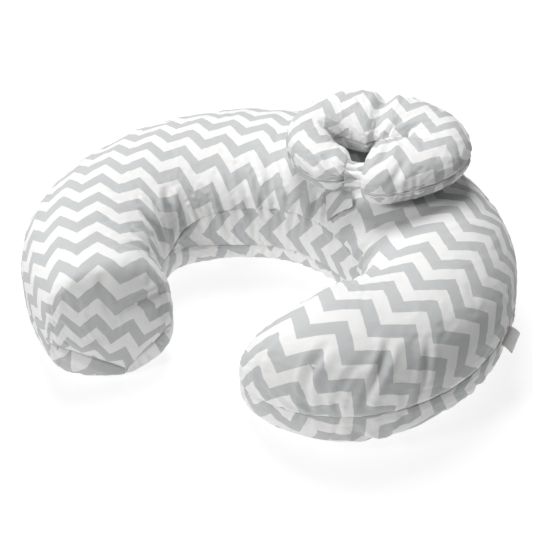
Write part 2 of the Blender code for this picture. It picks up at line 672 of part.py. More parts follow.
def main():
    for obj in list(bpy.data.objects):
        bpy.data.objects.remove(obj)
    for name in (COLLECTION, CUTTERS):
        bpy.context.scene.collection.children.link(bpy.data.collections.new(name))
    paint = {
        "chevron_cotton": make_material("chevron_cotton", (0.78, 0.79, 0.80), 0.90),
        "case_cotton": make_material("case_cotton", (0.90, 0.89, 0.86), 0.90),
        "fibre": make_material("fibre", (0.95, 0.95, 0.95), 1.00),
        "zip_tape": make_material("zip_tape", (0.86, 0.87, 0.88), 0.80),
        "zip_coil": make_material("zip_coil", (0.82, 0.83, 0.84), 0.45),
        "zip_metal": make_material("zip_metal", (0.70, 0.70, 0.71), 0.30, 1.0),
        "label_satin": make_material("label_satin", (0.93, 0.92, 0.90), 0.50),
        "elastic": make_material("elastic", (0.92, 0.92, 0.91), 0.70),
        "hook_and_loop": make_material("hook_and_loop", (0.75, 0.75, 0.75), 0.95),
    }
    make_material("cutter", (1.0, 0.2, 0.1), 0.5)
    pillow = BigPillow()
    make_main_pillow(pillow, paint)
    make_zip(pillow, paint)
    make_label(pillow, paint)
    make_head_pillow(pillow, paint)
    make_tie_flap(pillow, paint)
    stand_on_origin()


main()
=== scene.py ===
"""Looks of the nursing pillow: stuffed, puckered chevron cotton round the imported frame.
Metres, +Z up, the pillow's open side towards -Y."""

import math

import bmesh
import bpy
import numpy as np
from mathutils import Matrix, Vector, noise
from mathutils.bvhtree import BVHTree
from mathutils.kdtree import KDTree


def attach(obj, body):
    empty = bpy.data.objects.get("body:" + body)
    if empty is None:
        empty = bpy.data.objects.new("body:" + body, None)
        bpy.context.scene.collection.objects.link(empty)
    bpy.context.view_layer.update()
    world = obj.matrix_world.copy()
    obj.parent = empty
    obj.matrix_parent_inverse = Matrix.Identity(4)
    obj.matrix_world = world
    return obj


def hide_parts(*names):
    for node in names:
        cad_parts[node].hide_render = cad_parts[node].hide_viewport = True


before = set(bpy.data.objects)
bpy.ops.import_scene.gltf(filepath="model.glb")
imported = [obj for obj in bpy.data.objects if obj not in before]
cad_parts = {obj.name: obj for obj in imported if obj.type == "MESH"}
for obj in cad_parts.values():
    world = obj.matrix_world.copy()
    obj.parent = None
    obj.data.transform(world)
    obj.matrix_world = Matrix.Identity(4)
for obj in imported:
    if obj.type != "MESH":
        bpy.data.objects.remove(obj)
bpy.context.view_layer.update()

# ---------------------------------------------------------------- form of the big pillow
ROW_ORIGIN = (-0.0055, 0.1398, 0.0004)    # middle of the round back, on the floor
BACK_BEND = 4.40          # turn of the centreline per metre
BACK_HALF = 0.10          # half the length of the back, which keeps one section
BACK_HALF_WIDTH = 0.1078
BACK_HEIGHT = 0.155
SECTION_POWER = 2.45      # the section is a superellipse, squarer inside and below
INNER_BACK_POWER = 2.74
SQUARE_SHARE = 0.75       # by this far along an arm the inside is as round as the outside
SOLE_POWER = 0.6
FULL_HEIGHT_AT = 0.85     # share of an arm by which it has its own height
CAP_FALL = 0.8
SEAM_SHARE = 0.444        # height of the outer seam, of the whole height
TIP_LIFT = 0.0120         # height of the seam at the arms' tips
SOLE_DEPTH = 0.003        # the underside is cut flat at this height of the plain form
LEFT_ARM = dict(length=0.508, mid_bend=6.42, end_bend=5.46, mid_half=0.0900, end_half=0.0800,
                height=0.1602, cap=0.0427, cap_power=2.48, skew=0.386)
RIGHT_ARM = dict(length=0.541, mid_bend=7.52, end_bend=10.60, mid_half=0.0890, end_half=0.0825,
                 height=0.1636, cap=0.1270, cap_power=2.08, skew=0.029)
GUSSET_LEFT, GUSSET_RIGHT = 0.30, 0.27
GUSSET_UP, GUSSET_DOWN = 0.37, 0.11
GUSSET_POWER = 3.0
ZIP_HALF, ZIP_FADE = 0.094, 0.020
ZIP_OPENING = 0.035       # angle t left open on either side of the zip
ZIP_EDGE_DEPTH = 0.0012

ROW_STEP = 0.0062
PANEL_COLUMNS = 50
COLUMN_CROWD = 0.12
LEFT_CAP_ROWS, RIGHT_CAP_ROWS = 10, 20
GUSSET_COLUMNS = 10
START_DEPTH = 0.0035      # the cloth starts this far inside and swells outwards
CAP_INSIDE = 1.2          # folds on an arm's end point at the section this many caps from its tip


def smooth(t):
    t = np.clip(t, 0.0, 1.0)
    return t * t * (3.0 - 2.0 * t)


def three(u, start, middle, end):
    first = start + (middle - start) * smooth(u * 2.0)
    second = middle + (end - middle) * smooth(u * 2.0 - 1.0)
    return np.where(u < 0.5, first, second)


def by_arm(s, key):
    return np.where(s >= 0.0, RIGHT_ARM[key], LEFT_ARM[key])


def running_sum(values, step):
    return np.concatenate([[0.0], np.cumsum((values[1:] + values[:-1]) / 2.0 * step)])


def cap_close(cap_x, power):
    return np.clip(1.0 - np.clip(cap_x, 0.0, 1.0) ** power, 0.0, 1.0) ** (1.0 / power)


def gusset_share(s):
    end = np.where(s >= 0.0, GUSSET_RIGHT, GUSSET_LEFT)
    return np.clip(1.0 - (np.abs(s) / end) ** GUSSET_POWER, 0.0, 1.0)


def zip_window(s):
    """1 along the zip, 0 away from it."""
    return smooth((ZIP_HALF + ZIP_FADE - np.abs(s)) / ZIP_FADE)


class BigPillow:
    """Surface of the C-shaped pillow, by distance s along the centreline (right arm
    positive) and angle t round the section: 0 outer seam, pi/2 crown, pi inside."""

    def __init__(self):
        sides = []
        for arm, sign in ((LEFT_ARM, -1.0), (RIGHT_ARM, 1.0)):
            s = np.linspace(0.0, arm["length"], 400)
            u = np.clip((s - BACK_HALF) / (arm["length"] - BACK_HALF), 0.0, 1.0)
            bend = three(u, BACK_BEND, arm["mid_bend"], arm["end_bend"])
            turn = running_sum(bend, s[1])
            sides.append((sign * s, sign * running_sum(np.cos(turn), s[1]),
                          -running_sum(np.sin(turn), s[1]), -sign * turn))
        left, right = sides
        self.s, self.x, self.y, self.heading = [
            np.concatenate([a[::-1], b[1:]]) for a, b in zip(left, right)]

    def size(self, s):
        """Half width and height."""
        u = np.clip((np.abs(s) - BACK_HALF) / (by_arm(s, "length") - BACK_HALF), 0.0, 1.0)
        half = three(u, BACK_HALF_WIDTH, by_arm(s, "mid_half"), by_arm(s, "end_half"))
        return half, BACK_HEIGHT + (by_arm(s, "height") - BACK_HEIGHT) * smooth(u / FULL_HEIGHT_AT)

    def spot(self, s, cap_x, share_y, rise, upper, depth):
        """Points from the plan (s, share_y of the half width) and the rise, 0 to 1."""
        half, height = self.size(s)
        close = cap_close(cap_x, by_arm(s, "cap_power"))
        skew = by_arm(s, "skew") * smooth(cap_x)
        low = close ** CAP_FALL
        seam = SEAM_SHARE * height * low + TIP_LIFT * (1.0 - low)
        if upper:
            z = seam + np.maximum((1.0 - SEAM_SHARE) * height - depth, 0.0) * low * rise
        else:
            z = seam - np.maximum(SEAM_SHARE * height - depth, 0.0) * low * rise
            z = np.maximum(z, np.minimum(seam, SOLE_DEPTH + depth * rise))
        x, y, heading = (np.interp(s, self.s, a) for a in (self.x, self.y, self.heading))
        offset = (half - depth) * share_y
        along_x, along_y = np.cos(heading), np.sin(heading)
        px = x - along_y * offset + along_x * skew * offset
        py = y + along_x * offset + along_y * skew * offset
        return np.stack([px, py, z - SOLE_DEPTH], -1) + ROW_ORIGIN

    def inner_power(self, s):
        u = (np.abs(s) - BACK_HALF) / (by_arm(s, "length") - BACK_HALF) / SQUARE_SHARE
        return INNER_BACK_POWER - (INNER_BACK_POWER - SECTION_POWER) * smooth(u)

    def section_point(self, s, t, upper, depth=0.0):
        """A point at angle t round the section at s, t from 0 to pi on either side."""
        power = np.where(np.cos(t) < 0.0, self.inner_power(s), SECTION_POWER)
        rise_power = power if upper else power + SOLE_POWER
        across = np.sign(np.cos(t)) * np.abs(np.cos(t)) ** (2.0 / power)
        rise = np.abs(np.sin(t)) ** (2.0 / rise_power)
        cap = by_arm(s, "cap")
        cap_x = np.clip((np.abs(s) - by_arm(s, "length") + cap) / cap, 0.0, 1.0)
        close = cap_close(cap_x, by_arm(s, "cap_power"))
        return self.spot(s, cap_x, across * close, rise, upper, depth)

    def cap_point(self, arm, sign, r, w, upper, depth):
        """A point on a rounded arm end: r from 0 where it starts to 1 on the end
        seam, w from -1 inside to 1 outside, like a square pulled into a half disc.
        Also its s and the angle t of its place on the section there."""
        x, y = r * np.sqrt(1.0 - w * w / 2.0), w * np.sqrt(1.0 - r * r / 2.0)
        size, angle = np.hypot(x, y), np.arctan2(y, x)
        size = np.sin(np.clip(size, 0.0, 1.0) * math.pi / 2.0) ** (2.0 / SECTION_POWER)
        power = arm["cap_power"]
        size = size / (np.abs(np.cos(angle)) ** power + np.abs(np.sin(angle)) ** power) ** (1.0 / power)
        cap_x, share_y = size * np.cos(angle), size * np.sin(angle)
        share = np.clip(np.abs(share_y) / np.maximum(cap_close(cap_x, power), 1e-9), 0.0, 1.0)
        rise_power = SECTION_POWER + (0.0 if upper else SOLE_POWER)
        turn = np.arccos(np.clip(share ** (SECTION_POWER / 2.0), 0.0, 1.0))
        rise = np.where(np.maximum(np.abs(w), r) > 1.0 - 1e-9, 0.0, np.sin(turn) ** (2.0 / rise_power))
        s = sign * (arm["length"] - arm["cap"] + (arm["cap"] - depth) * cap_x)
        t = np.where(w >= 0.0, turn, math.pi - turn)
        return self.spot(s, cap_x, share_y, rise, upper, depth), s, t

    def fold_place(self, s, t):
        """A point on the plain form and the way in from it: t runs from 0 at the outer
        seam to pi at the inner one over the top, and from 0 to -pi below."""
        arm, sign = (RIGHT_ARM, 1.0) if s >= 0.0 else (LEFT_ARM, -1.0)
        past = sign * s - (arm["length"] - arm["cap"])
        if past > 0.0:
            r = min(past / arm["cap"], 1.0)
            w = np.array([1.0 - 2.0 * abs(t) / math.pi])
            point = self.cap_point(arm, sign, r, w, t >= 0.0, 0.0)[0][0]
            s = sign * (arm["length"] - arm["cap"] * CAP_INSIDE)
        else:
            point = self.section_point(np.array([s]), np.array([abs(t)]), t >= 0.0)[0]
        over, under = (self.section_point(np.array([s]), np.array([math.pi / 2.0]), upper)[0]
                       for upper in (True, False))
        return point, (over + under) / 2.0 - point

    def crown_distance(self, s, t, upper, steps=40):
        """Length of cloth from the crown to angle t, positive towards the inside."""
        along = np.linspace(0.0, 1.0, steps)[:, None]
        angle = math.pi / 2.0 + (t - math.pi / 2.0) * along
        path = self.section_point(np.broadcast_to(s, angle.shape), angle, upper)
        length = np.linalg.norm(np.diff(path, axis=0), axis=-1).sum(0)
        return np.sign(t - math.pi / 2.0) * length

    def nearest(self, x, y):
        """Centreline position, and distance outwards as a share of the half width."""
        x, y = x - ROW_ORIGIN[0], y - ROW_ORIGIN[1]
        index = np.argmin((self.x - x[:, None]) ** 2 + (self.y - y[:, None]) ** 2, axis=1)
        heading = self.heading[index]
        out = -(x - self.x[index]) * np.sin(heading) + (y - self.y[index]) * np.cos(heading)
        s = self.s[index]
        return s, out / self.size(s)[0]


# ---------------------------------------------------------------- form of the head pillow
RING_CENTRE = (0.0685, 0.1088)
RING_TURN = math.radians(16.0)
RING_LONG, RING_SHORT = 0.0790, 0.0590
RING_GAP_AT = math.radians(-100.0)
RING_HALF_GAP = 0.0075
# The stuffed left arm is slimmer here than the solid in the frame
RING_FAR_HALF, RING_LEFT_HALF, RING_RIGHT_HALF = 0.0370, 0.0225, 0.0420
RING_FAR_HEIGHT, RING_LEFT_HEIGHT, RING_RIGHT_HEIGHT = 0.0610, 0.0450, 0.0600
RING_POWER = 2.4
RING_CAP, RING_CAP_POWER, RING_NECK = 0.030, 2.4, 0.38
RING_COLUMNS = 26
RING_STEP = 0.0040
RING_END_ROWS = 9
RING_START_DEPTH = 0.0025
# The fold opposite the gap: how much narrower, and where and how wide as shares of the way
RING_PINCH, RING_PINCH_AT, RING_PINCH_WIDTH = 0.20, 0.520, 0.040
# The stuffed cover nearly closes the hole: share of the way round, and how much wider
# its inner side is there than the plain form
RING_INNER_SWELL = ((0.0, 0.36), (0.10, 0.36), (0.27, 0.05), (0.40, 0.70), (0.52, 1.05),
                    (0.64, 0.70), (0.77, 0.05), (0.90, 0.50), (1.0, 0.60))
DRAPE = 0.35              # how closely the ring follows the big pillow's round top
DRAPE_LIMIT = 1.15
REST_GAP = 0.0015


class HeadRing:
    """Surface of the head pillow, by distance along the ring and angle t round the
    section (0 at the outer edge)."""

    def __init__(self, pillow):
        self.pillow = pillow
        half_gap = RING_HALF_GAP / ((RING_LONG + RING_SHORT) / 2.0)
        first = RING_GAP_AT + half_gap
        self.angle = np.linspace(first, first + 2.0 * (math.pi - half_gap), 600)
        x, y = RING_LONG * np.cos(self.angle), RING_SHORT * np.sin(self.angle)
        self.arc = np.concatenate([[0.0], np.cumsum(np.hypot(np.diff(x), np.diff(y)))])
        self.length = self.arc[-1]

    def stations(self):
        """Distances of the rows, closer together at the two ends."""
        end = RING_CAP * (1.0 - np.cos(np.linspace(0.0, math.pi / 2.0, RING_END_ROWS + 1)))
        count = round((self.length - 2.0 * RING_CAP) / RING_STEP)
        middle = np.linspace(RING_CAP, self.length - RING_CAP, count + 1)
        return np.concatenate([end[:-1], middle, self.length - end[:-1][::-1]])

    def plan(self, arc, out):
        """Plan position at a distance along the ring and outward from it."""
        angle = np.interp(arc, self.arc, self.angle)
        x, y = RING_LONG * np.cos(angle), RING_SHORT * np.sin(angle)
        dx, dy = -RING_LONG * np.sin(angle), RING_SHORT * np.cos(angle)
        size = np.hypot(dx, dy)
        x, y = x + dy / size * out, y - dx / size * out
        cosine, sine = math.cos(RING_TURN), math.sin(RING_TURN)
        return RING_CENTRE[0] + x * cosine - y * sine, RING_CENTRE[1] + x * sine + y * cosine

    def shape(self, arc):
        """Half width, height and how far the end has opened, 0 to 1."""
        u = arc / self.length
        half = three(u, RING_RIGHT_HALF, RING_FAR_HALF, RING_LEFT_HALF)
        height = three(u, RING_RIGHT_HEIGHT, RING_FAR_HEIGHT, RING_LEFT_HEIGHT)
        tip = np.clip(1.0 - np.minimum(arc, self.length - arc) / RING_CAP, 0.0, 1.0)
        opened = np.sqrt(np.clip(1.0 - tip ** RING_CAP_POWER, 0.0, 1.0))
        close = RING_NECK + (1.0 - RING_NECK) * opened
        close = close * (1.0 - RING_PINCH * np.exp(-((u - RING_PINCH_AT) / RING_PINCH_WIDTH) ** 2))
        return half * close, height * close, opened

    def point(self, arc, t, depth):
        """A point at angle t, below the surface by depth: t above 0 is on top."""
        half, height, opened = self.shape(arc)
        share = 2.0 / RING_POWER
        across = np.sign(np.cos(t)) * np.abs(np.cos(t)) ** share
        rise = np.sign(np.sin(t)) * np.abs(np.sin(t)) ** share
        inner = np.interp(arc / self.length, *zip(*RING_INNER_SWELL))
        swell = np.where(across < 0.0, 1.0 + inner * opened, 1.0)
        x, y = self.plan(arc, (half - depth) * across * swell)
        return np.stack([x, y, self.base(x, y) + (height / 2.0 - depth) * rise], -1)

    def base(self, x, y):
        """Height of the equator seam, which follows the big pillow's crown."""
        shape = np.shape(x)
        s, share = self.pillow.nearest(np.ravel(x), np.ravel(y))
        height = self.pillow.size(s)[1]
        fall = DRAPE * np.minimum(np.abs(share), DRAPE_LIMIT) ** SECTION_POWER / INNER_BACK_POWER
        drape = height - SOLE_DEPTH - (1.0 - SEAM_SHARE) * height * fall
        return drape.reshape(shape) + ROW_ORIGIN[2] + REST_GAP + RING_FAR_HEIGHT / 2.0

    def fold_place(self, share, t):
        """A point at a share of the way round and an angle t, and the way in from it."""
        arc = np.array([share * self.length])
        point, over, under = (self.point(arc, np.array([angle]), 0.0)[0]
                              for angle in (t, math.pi / 2.0, -math.pi / 2.0))
        return point, (over + under) / 2.0 - point

    def crown_distance(self, arc, t, steps=24):
        """Length of cloth from the crown to angle t, positive outwards."""
        along = np.linspace(0.0, 1.0, steps)[:, None]
        crown = math.pi / 2.0 * np.sign(t)
        path = self.point(np.broadcast_to(arc, (steps, len(t))), crown + (t - crown) * along, 0.0)
        return np.sign(np.cos(t)) * np.linalg.norm(np.diff(path, axis=0), axis=-1).sum(0)


# ---------------------------------------------------------------- the printed cloth
ZIGZAG_PITCH = 0.049      # from one point of a zigzag to the next
LEFT_BAND, RIGHT_BAND = 0.0395, 0.0349    # a grey and a white stripe together
LEFT_SWING, RIGHT_SWING = 0.537, 0.583    # height of the zigzag, in stripe pairs
# The panel's grain turns against the centreline: distance along it, turn per metre
GRAIN_BEND = ((-0.62, 0.0), (-0.47, 0.0), (-0.46, 5.7), (-0.4, 5.36), (-0.3, 4.40),
              (-0.2, 4.39), (-0.1, 3.40), (0.0, 2.72), (0.1, 2.78), (0.2, 7.55),
              (0.3, 6.20), (0.4, 7.15), (0.5, 10.34))
# and length of flat cloth per length of the centreline
GRAIN_GROW = ((-0.5, 0.954), (-0.25, 1.112), (0.0, 1.171), (0.2, 0.885), (0.25, 0.876), (0.5, 0.788))
# Each arm's print is set out from one place on its crown: where that is, the grain's turn
# there, the zigzag and stripe counts there, and how the cloth shortens away from the crown
LEFT_AT, LEFT_TURN, LEFT_PHASE, LEFT_SIDE = -0.22, -0.7785, (0.198, 0.730), -1.955
RIGHT_AT, RIGHT_PHASE, RIGHT_SIDE = 0.30, (0.395, 0.299), -0.435
CHART_SURE = 0.10         # beyond this far from the crown the stretch stays even
HIDDEN_END = 0.18         # the head pillow hides the change between the two arms' cloth
GUSSET_BAND, GUSSET_PHASE = 0.0345, (0.5, 0.25)


class PrintChart:
    """Where each spot of the big pillow's panels lies on the flat printed cloth,
    counted in zigzag points and stripe pairs."""

    def __init__(self):
        self.s = np.linspace(-0.62, 0.58, 1201)
        step = self.s[1] - self.s[0]
        turn = running_sum(np.interp(self.s, *zip(*GRAIN_BEND)), step)
        self.turn = turn - np.interp(LEFT_AT, self.s, turn) + LEFT_TURN
        self.grow = np.interp(self.s, *zip(*GRAIN_GROW))
        self.u = running_sum(self.grow * np.cos(self.turn), step)
        self.v = running_sum(self.grow * np.sin(self.turn), step)
        end = self.side(np.array([HIDDEN_END]), np.zeros(1), False)
        start = self.side(np.array([HIDDEN_END]), np.zeros(1), True)
        self.whole = np.round(start - end)[0]

    def side(self, s, q, left):
        """Counts by one arm's print, at distance q from the crown towards the inside."""
        at, phase, fall = ((LEFT_AT, LEFT_PHASE, LEFT_SIDE) if left
                           else (RIGHT_AT, RIGHT_PHASE, RIGHT_SIDE))
        turn = np.interp(s, self.s, self.turn)
        near = np.clip(q, -CHART_SURE, CHART_SURE)
        out = near * (1.0 + fall * near) + (q - near) * (1.0 + 2.0 * fall * near)
        out = out * np.interp(s, self.s, self.grow)
        u = np.interp(s, self.s, self.u) - np.interp(at, self.s, self.u) - out * np.sin(turn)
        v = np.interp(s, self.s, self.v) - np.interp(at, self.s, self.v) + out * np.cos(turn)
        band = LEFT_BAND if left else RIGHT_BAND
        return np.stack([u / ZIGZAG_PITCH + phase[0], v / band + phase[1]], -1)

    def counts(self, s, q):
        """Zigzag count, stripe count and zigzag height, for arrays of s and q."""
        share = smooth(s / HIDDEN_END)[..., None]
        both = self.side(s, q, True) * (1.0 - share) + (self.side(s, q, False) + self.whole) * share
        swing = LEFT_SWING + (RIGHT_SWING - LEFT_SWING) * share
        return np.concatenate([both, swing], -1)


# ---------------------------------------------------------------- grids of points
class Grid:
    """Rows of points of one panel, with each point's place on the printed cloth."""

    def __init__(self, points, counts):
        self.points = np.array(points)
        self.counts = np.array(counts)


def column_shares(count):
    """Positions from 1 (outer seam) to -1 (inner seam), closer together at the seams."""
    w = np.linspace(1.0, -1.0, count + 1)
    return w + COLUMN_CROWD * np.sin(math.pi * w)


def body_rows():
    """Distances s of the rows between the two arm ends, both ends included."""
    left = LEFT_ARM["length"] - LEFT_ARM["cap"]
    right = RIGHT_ARM["length"] - RIGHT_ARM["cap"]
    marks = [-left, -GUSSET_LEFT, 0.0, GUSSET_RIGHT, right]
    s = [-left]
    for a, b in zip(marks, marks[1:]):
        s += list(np.linspace(a, b, max(1, round((b - a) / ROW_STEP)) + 1)[1:])
    return np.array(s)


def panel_grid(pillow, chart, upper):
    """The top or bottom panel, its rows from the left end seam to the right one."""
    w = column_shares(PANEL_COLUMNS)
    rows = left_end_rows(pillow, w, upper)
    for s in body_rows():
        zipped = zip_window(s)
        start = ZIP_OPENING * zipped
        end = math.pi - (GUSSET_UP if upper else GUSSET_DOWN) * gusset_share(s)
        t = np.clip(start + (1.0 - w) / 2.0 * (end - start), 0.0, math.pi)
        depth = np.full(w.shape, START_DEPTH)
        depth[0] += (ZIP_EDGE_DEPTH - START_DEPTH) * zipped
        s = np.full(w.shape, s)
        rows.append((pillow.section_point(s, t, upper, depth), s, pillow.crown_distance(s, t, upper)))
    for r in np.linspace(0.0, 1.0, RIGHT_CAP_ROWS + 1)[1:]:
        points, s, t = pillow.cap_point(RIGHT_ARM, 1.0, r, w, upper, START_DEPTH)
        rows.append((points, s, pillow.crown_distance(s, t, upper)))
    return Grid([points for points, s, q in rows], [chart.counts(s, q) for points, s, q in rows])


def left_end_rows(pillow, w, upper):
    """Rows of the blunt left end. Its cloth is laid over the end from the crown where
    it starts: distance and direction from there give each spot's place on the cloth."""
    start = LEFT_ARM["cap"] - LEFT_ARM["length"]
    share = np.linspace(0.0, 1.0, 41)
    middle = [pillow.cap_point(LEFT_ARM, -1.0, r, np.zeros(1), upper, 0.0)[0][0] for r in share]
    forward = running_length(np.array(middle))
    rows = []
    for r in np.linspace(1.0, 0.0, LEFT_CAP_ROWS + 1)[:-1]:
        x, y = r * np.sqrt(1.0 - w * w / 2.0), w * np.sqrt(1.0 - r * r / 2.0)
        size = np.clip(np.hypot(x, y), 1e-6, 1.0)
        t = math.pi / 2.0 * (1.0 - np.where(y < 0.0, -size, size))
        side = pillow.crown_distance(np.full(w.shape, start), t, upper)
        q = side * np.abs(y) / size
        s = start - np.interp(size, share, forward) * x / size
        rows.append((pillow.cap_point(LEFT_ARM, -1.0, r, w, upper, START_DEPTH)[0], s, q))
    return rows


def running_length(points):
    """Distance along a line of points from its first one."""
    return np.concatenate([[0.0], np.cumsum(np.linalg.norm(np.diff(points, axis=0), axis=1))])


def gusset_grid(pillow):
    """The wall band along the inside, its cloth turned so that the stripes stand up."""
    v = np.linspace(1.0, -1.0, GUSSET_COLUMNS + 1)
    rows = []
    for s in body_rows():
        if -GUSSET_LEFT - 1e-9 <= s <= GUSSET_RIGHT + 1e-9:
            reach = np.where(v > 0.0, GUSSET_UP, GUSSET_DOWN) * gusset_share(s)
            t = np.clip(math.pi - reach * np.abs(v), 0.0, math.pi)
            s = np.full(v.shape, s)
            top = pillow.section_point(s, t, True, START_DEPTH)
            low = pillow.section_point(s, t, False, START_DEPTH)
            rows.append(np.where((v >= 0.0)[:, None], top, low))
    points = np.array(rows)
    middle = points[:, GUSSET_COLUMNS // 2]
    along = running_length(middle)
    across = points[..., 2] / ZIGZAG_PITCH + GUSSET_PHASE[0]
    stripes = np.broadcast_to(along[:, None] / GUSSET_BAND + GUSSET_PHASE[1], across.shape)
    return Grid(points, np.stack([across, stripes, np.full(across.shape, LEFT_SWING)], -1))


def ring_grid(ring, upper):
    """Top or bottom panel of the head pillow, cut flat from the cloth."""
    share = (1.0 - column_shares(RING_COLUMNS)) / 2.0
    t = math.pi * share * (1.0 if upper else -1.0)
    stations = ring.stations()
    rows, counts = [], []
    for index, arc in enumerate(stations):
        arcs = np.full(t.shape, arc)
        row = ring.point(arcs, t, RING_START_DEPTH)
        out = ring.crown_distance(arcs, t)
        x, y = ring.plan(arcs, out)
        counts.append(ring_counts(x, y, arc / ring.length, upper))
        if index in (0, len(stations) - 1):
            pole = ring.point(arcs, np.full(t.shape, math.pi / 2.0), RING_FAR_HEIGHT / 2.0)
            pole[:, 2] = ring.base(pole[:, 0], pole[:, 1])
            rows.append(pole if index == 0 else row)
            counts.append(counts[-1])
            rows.append(row if index == 0 else pole)
        else:
            rows.append(row)
    return Grid(rows, counts)


# Stripe counts of the head pillow's underside run half a pair behind those of its top
RING_UNDER = 0.5
RING_CLOTH = (
    # share of the way round, turn in degrees, zigzag pitch, stripe band, swing, two phases
    (0.00, 4.0, 0.051, 0.043, 0.64, 0.70, 0.20),
    (0.22, 4.0, 0.051, 0.043, 0.64, 0.70, 0.20),
    (0.34, 8.2, 0.040, 0.041, 0.68, 0.22, 0.47),
    (0.72, 8.2, 0.040, 0.041, 0.68, 0.22, 0.47),
    (0.86, 9.1, 0.055, 0.034, 0.60, 0.07, 0.53),
    (1.00, 9.1, 0.055, 0.034, 0.60, 0.07, 0.53),
)
RING_PITCH, RING_BAND, RING_SWING = 0.046, 0.036, 0.60    # on its bridge, tab and flap


def ring_counts(x, y, share, upper):
    """Print of the head pillow's panels, stretched a little more where they bend."""
    marks = np.array(RING_CLOTH)
    turn, pitch, band, swing, across, down = (np.interp(share, marks[:, 0], marks[:, k])
                                              for k in range(1, 7))
    turn = math.radians(turn)
    x, y = x - RING_CENTRE[0], y - RING_CENTRE[1]
    u = (x * math.cos(turn) + y * math.sin(turn)) / pitch + across
    v = (y * math.cos(turn) - x * math.sin(turn)) / band + down + (0.0 if upper else RING_UNDER)
    return np.stack([u, v, np.full(u.shape, swing)], -1)


# ---------------------------------------------------------------- meshes from grids
def closed_cage(name, parts):
    """One closed quad mesh from several grids, joined where their edges meet. Each
    face keeps the number of its grid."""
    bm = bmesh.new()
    layer = bm.faces.layers.int.new("panel")
    for number, points in enumerate(parts):
        verts = [[bm.verts.new(p) for p in row] for row in points]
        for a, b in zip(verts, verts[1:]):
            for i in range(len(a) - 1):
                face = bm.faces.new((a[i], b[i], b[i + 1], a[i + 1]))
                face[layer] = number
    bmesh.ops.remove_doubles(bm, verts=bm.verts, dist=2e-5)
    bmesh.ops.dissolve_degenerate(bm, edges=bm.edges, dist=1e-6)
    bmesh.ops.recalc_face_normals(bm, faces=bm.faces)
    mesh = bpy.data.meshes.new(name)
    bm.to_mesh(mesh)
    bm.free()
    return new_object(name, mesh)


def new_object(name, mesh):
    obj = bpy.data.objects.new(name, mesh)
    bpy.context.scene.collection.objects.link(obj)
    return obj


def vertex_array(mesh):
    flat = np.empty(3 * len(mesh.vertices))
    mesh.vertices.foreach_get("co", flat)
    return flat.reshape(-1, 3)


def normal_array(mesh):
    flat = np.empty(3 * len(mesh.vertices))
    mesh.vertex_normals.foreach_get("vector", flat)
    return flat.reshape(-1, 3)


def write_vertices(mesh, points):
    mesh.vertices.foreach_set("co", np.ascontiguousarray(points).ravel())
    mesh.update()


def seam_weights(mesh):
    """1 for each vertex where two panels meet, else 0."""
    panel = np.zeros(len(mesh.polygons), int)
    mesh.attributes["panel"].data.foreach_get("value", panel)
    low = np.full(len(mesh.vertices), panel.max() + 1)
    high = np.full(len(mesh.vertices), -1)
    for face, number in zip(mesh.polygons, panel):
        for vertex in face.vertices:
            low[vertex] = min(low[vertex], number)
            high[vertex] = max(high[vertex], number)
    return (low != high).astype(float)


class Finder:
    """Finds which cage vertex a grid point became."""

    def __init__(self, points):
        self.tree = KDTree(len(points))
        for index, point in enumerate(points):
            self.tree.insert(point, index)
        self.tree.balance()

    def index(self, points):
        flat = np.reshape(points, (-1, 3))
        found = [self.tree.find(point)[1] for point in flat]
        return np.reshape(found, np.shape(points)[:-1])


def finer(grid, times):
    """The same smooth surface with more points, through every row and column it had."""
    for axis in (0, 1):
        grid = np.moveaxis(grid, axis, 0)
        line = np.concatenate([2.0 * grid[:1] - grid[1:2], grid, 2.0 * grid[-1:] - grid[-2:-1]])
        before, start, end, after = line[:-3], line[1:-2], line[2:-1], line[3:]
        steps = []
        for share in np.arange(times) / times:
            cubic = 3.0 * (start - end) + after - before
            square = 2.0 * before - 5.0 * start + 4.0 * end - after
            steps.append(start + share / 2.0 * (end - before + share * (square + share * cubic)))
        fine = np.stack(steps, 1).reshape(-1, *grid.shape[1:])
        grid = np.moveaxis(np.concatenate([fine, grid[-1:]]), 0, axis)
    return grid


def cloth_piece(name, points, counts, outwards, material, thickness, levels=1):
    """A panel of cloth from a grid of points, its inside a cloth thickness away."""
    rows, columns = points.shape[:2]
    number = np.arange(rows * columns).reshape(rows, columns)
    corners = (number[:-1, :-1], number[1:, :-1], number[1:, 1:], number[:-1, 1:])
    faces = np.stack([c.ravel() for c in corners], -1).tolist()
    mesh = bpy.data.meshes.new(name)
    mesh.from_pydata(points.reshape(-1, 3).tolist(), [], faces)
    layer = mesh.attributes.new("print", "FLOAT_VECTOR", "POINT")
    layer.data.foreach_set("vector", np.ascontiguousarray(counts, dtype=np.float32).ravel())
    bm = bmesh.new()
    bm.from_mesh(mesh)
    bmesh.ops.remove_doubles(bm, verts=bm.verts, dist=1e-6)
    bmesh.ops.dissolve_degenerate(bm, edges=bm.edges, dist=1e-7)
    facing = sum((face.normal * face.calc_area() for face in bm.faces), Vector())
    if outwards is not None and facing.dot(Vector(outwards)) < 0.0:
        bmesh.ops.reverse_faces(bm, faces=bm.faces)
    bm.to_mesh(mesh)
    bm.free()
    obj = new_object(name, mesh)
    finish_cloth(obj, material, thickness, levels)
    return obj


def enlist(piece, slot, body, *nodes):
    """Hide the nodes of the frame that a piece replaces and attach the piece to its body. slot is not
    used.
    """
    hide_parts(*nodes)
    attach(piece, body)


def finish_cloth(obj, material, thickness, levels=1):
    obj.data.materials.append(material)
    if levels:
        rounding = obj.modifiers.new("rounding", "SUBSURF")
        rounding.levels = rounding.render_levels = levels
    if thickness:
        solidify = obj.modifiers.new("thickness", "SOLIDIFY")
        solidify.thickness = thickness
        solidify.offset = -1.0
    obj.data.shade_smooth()


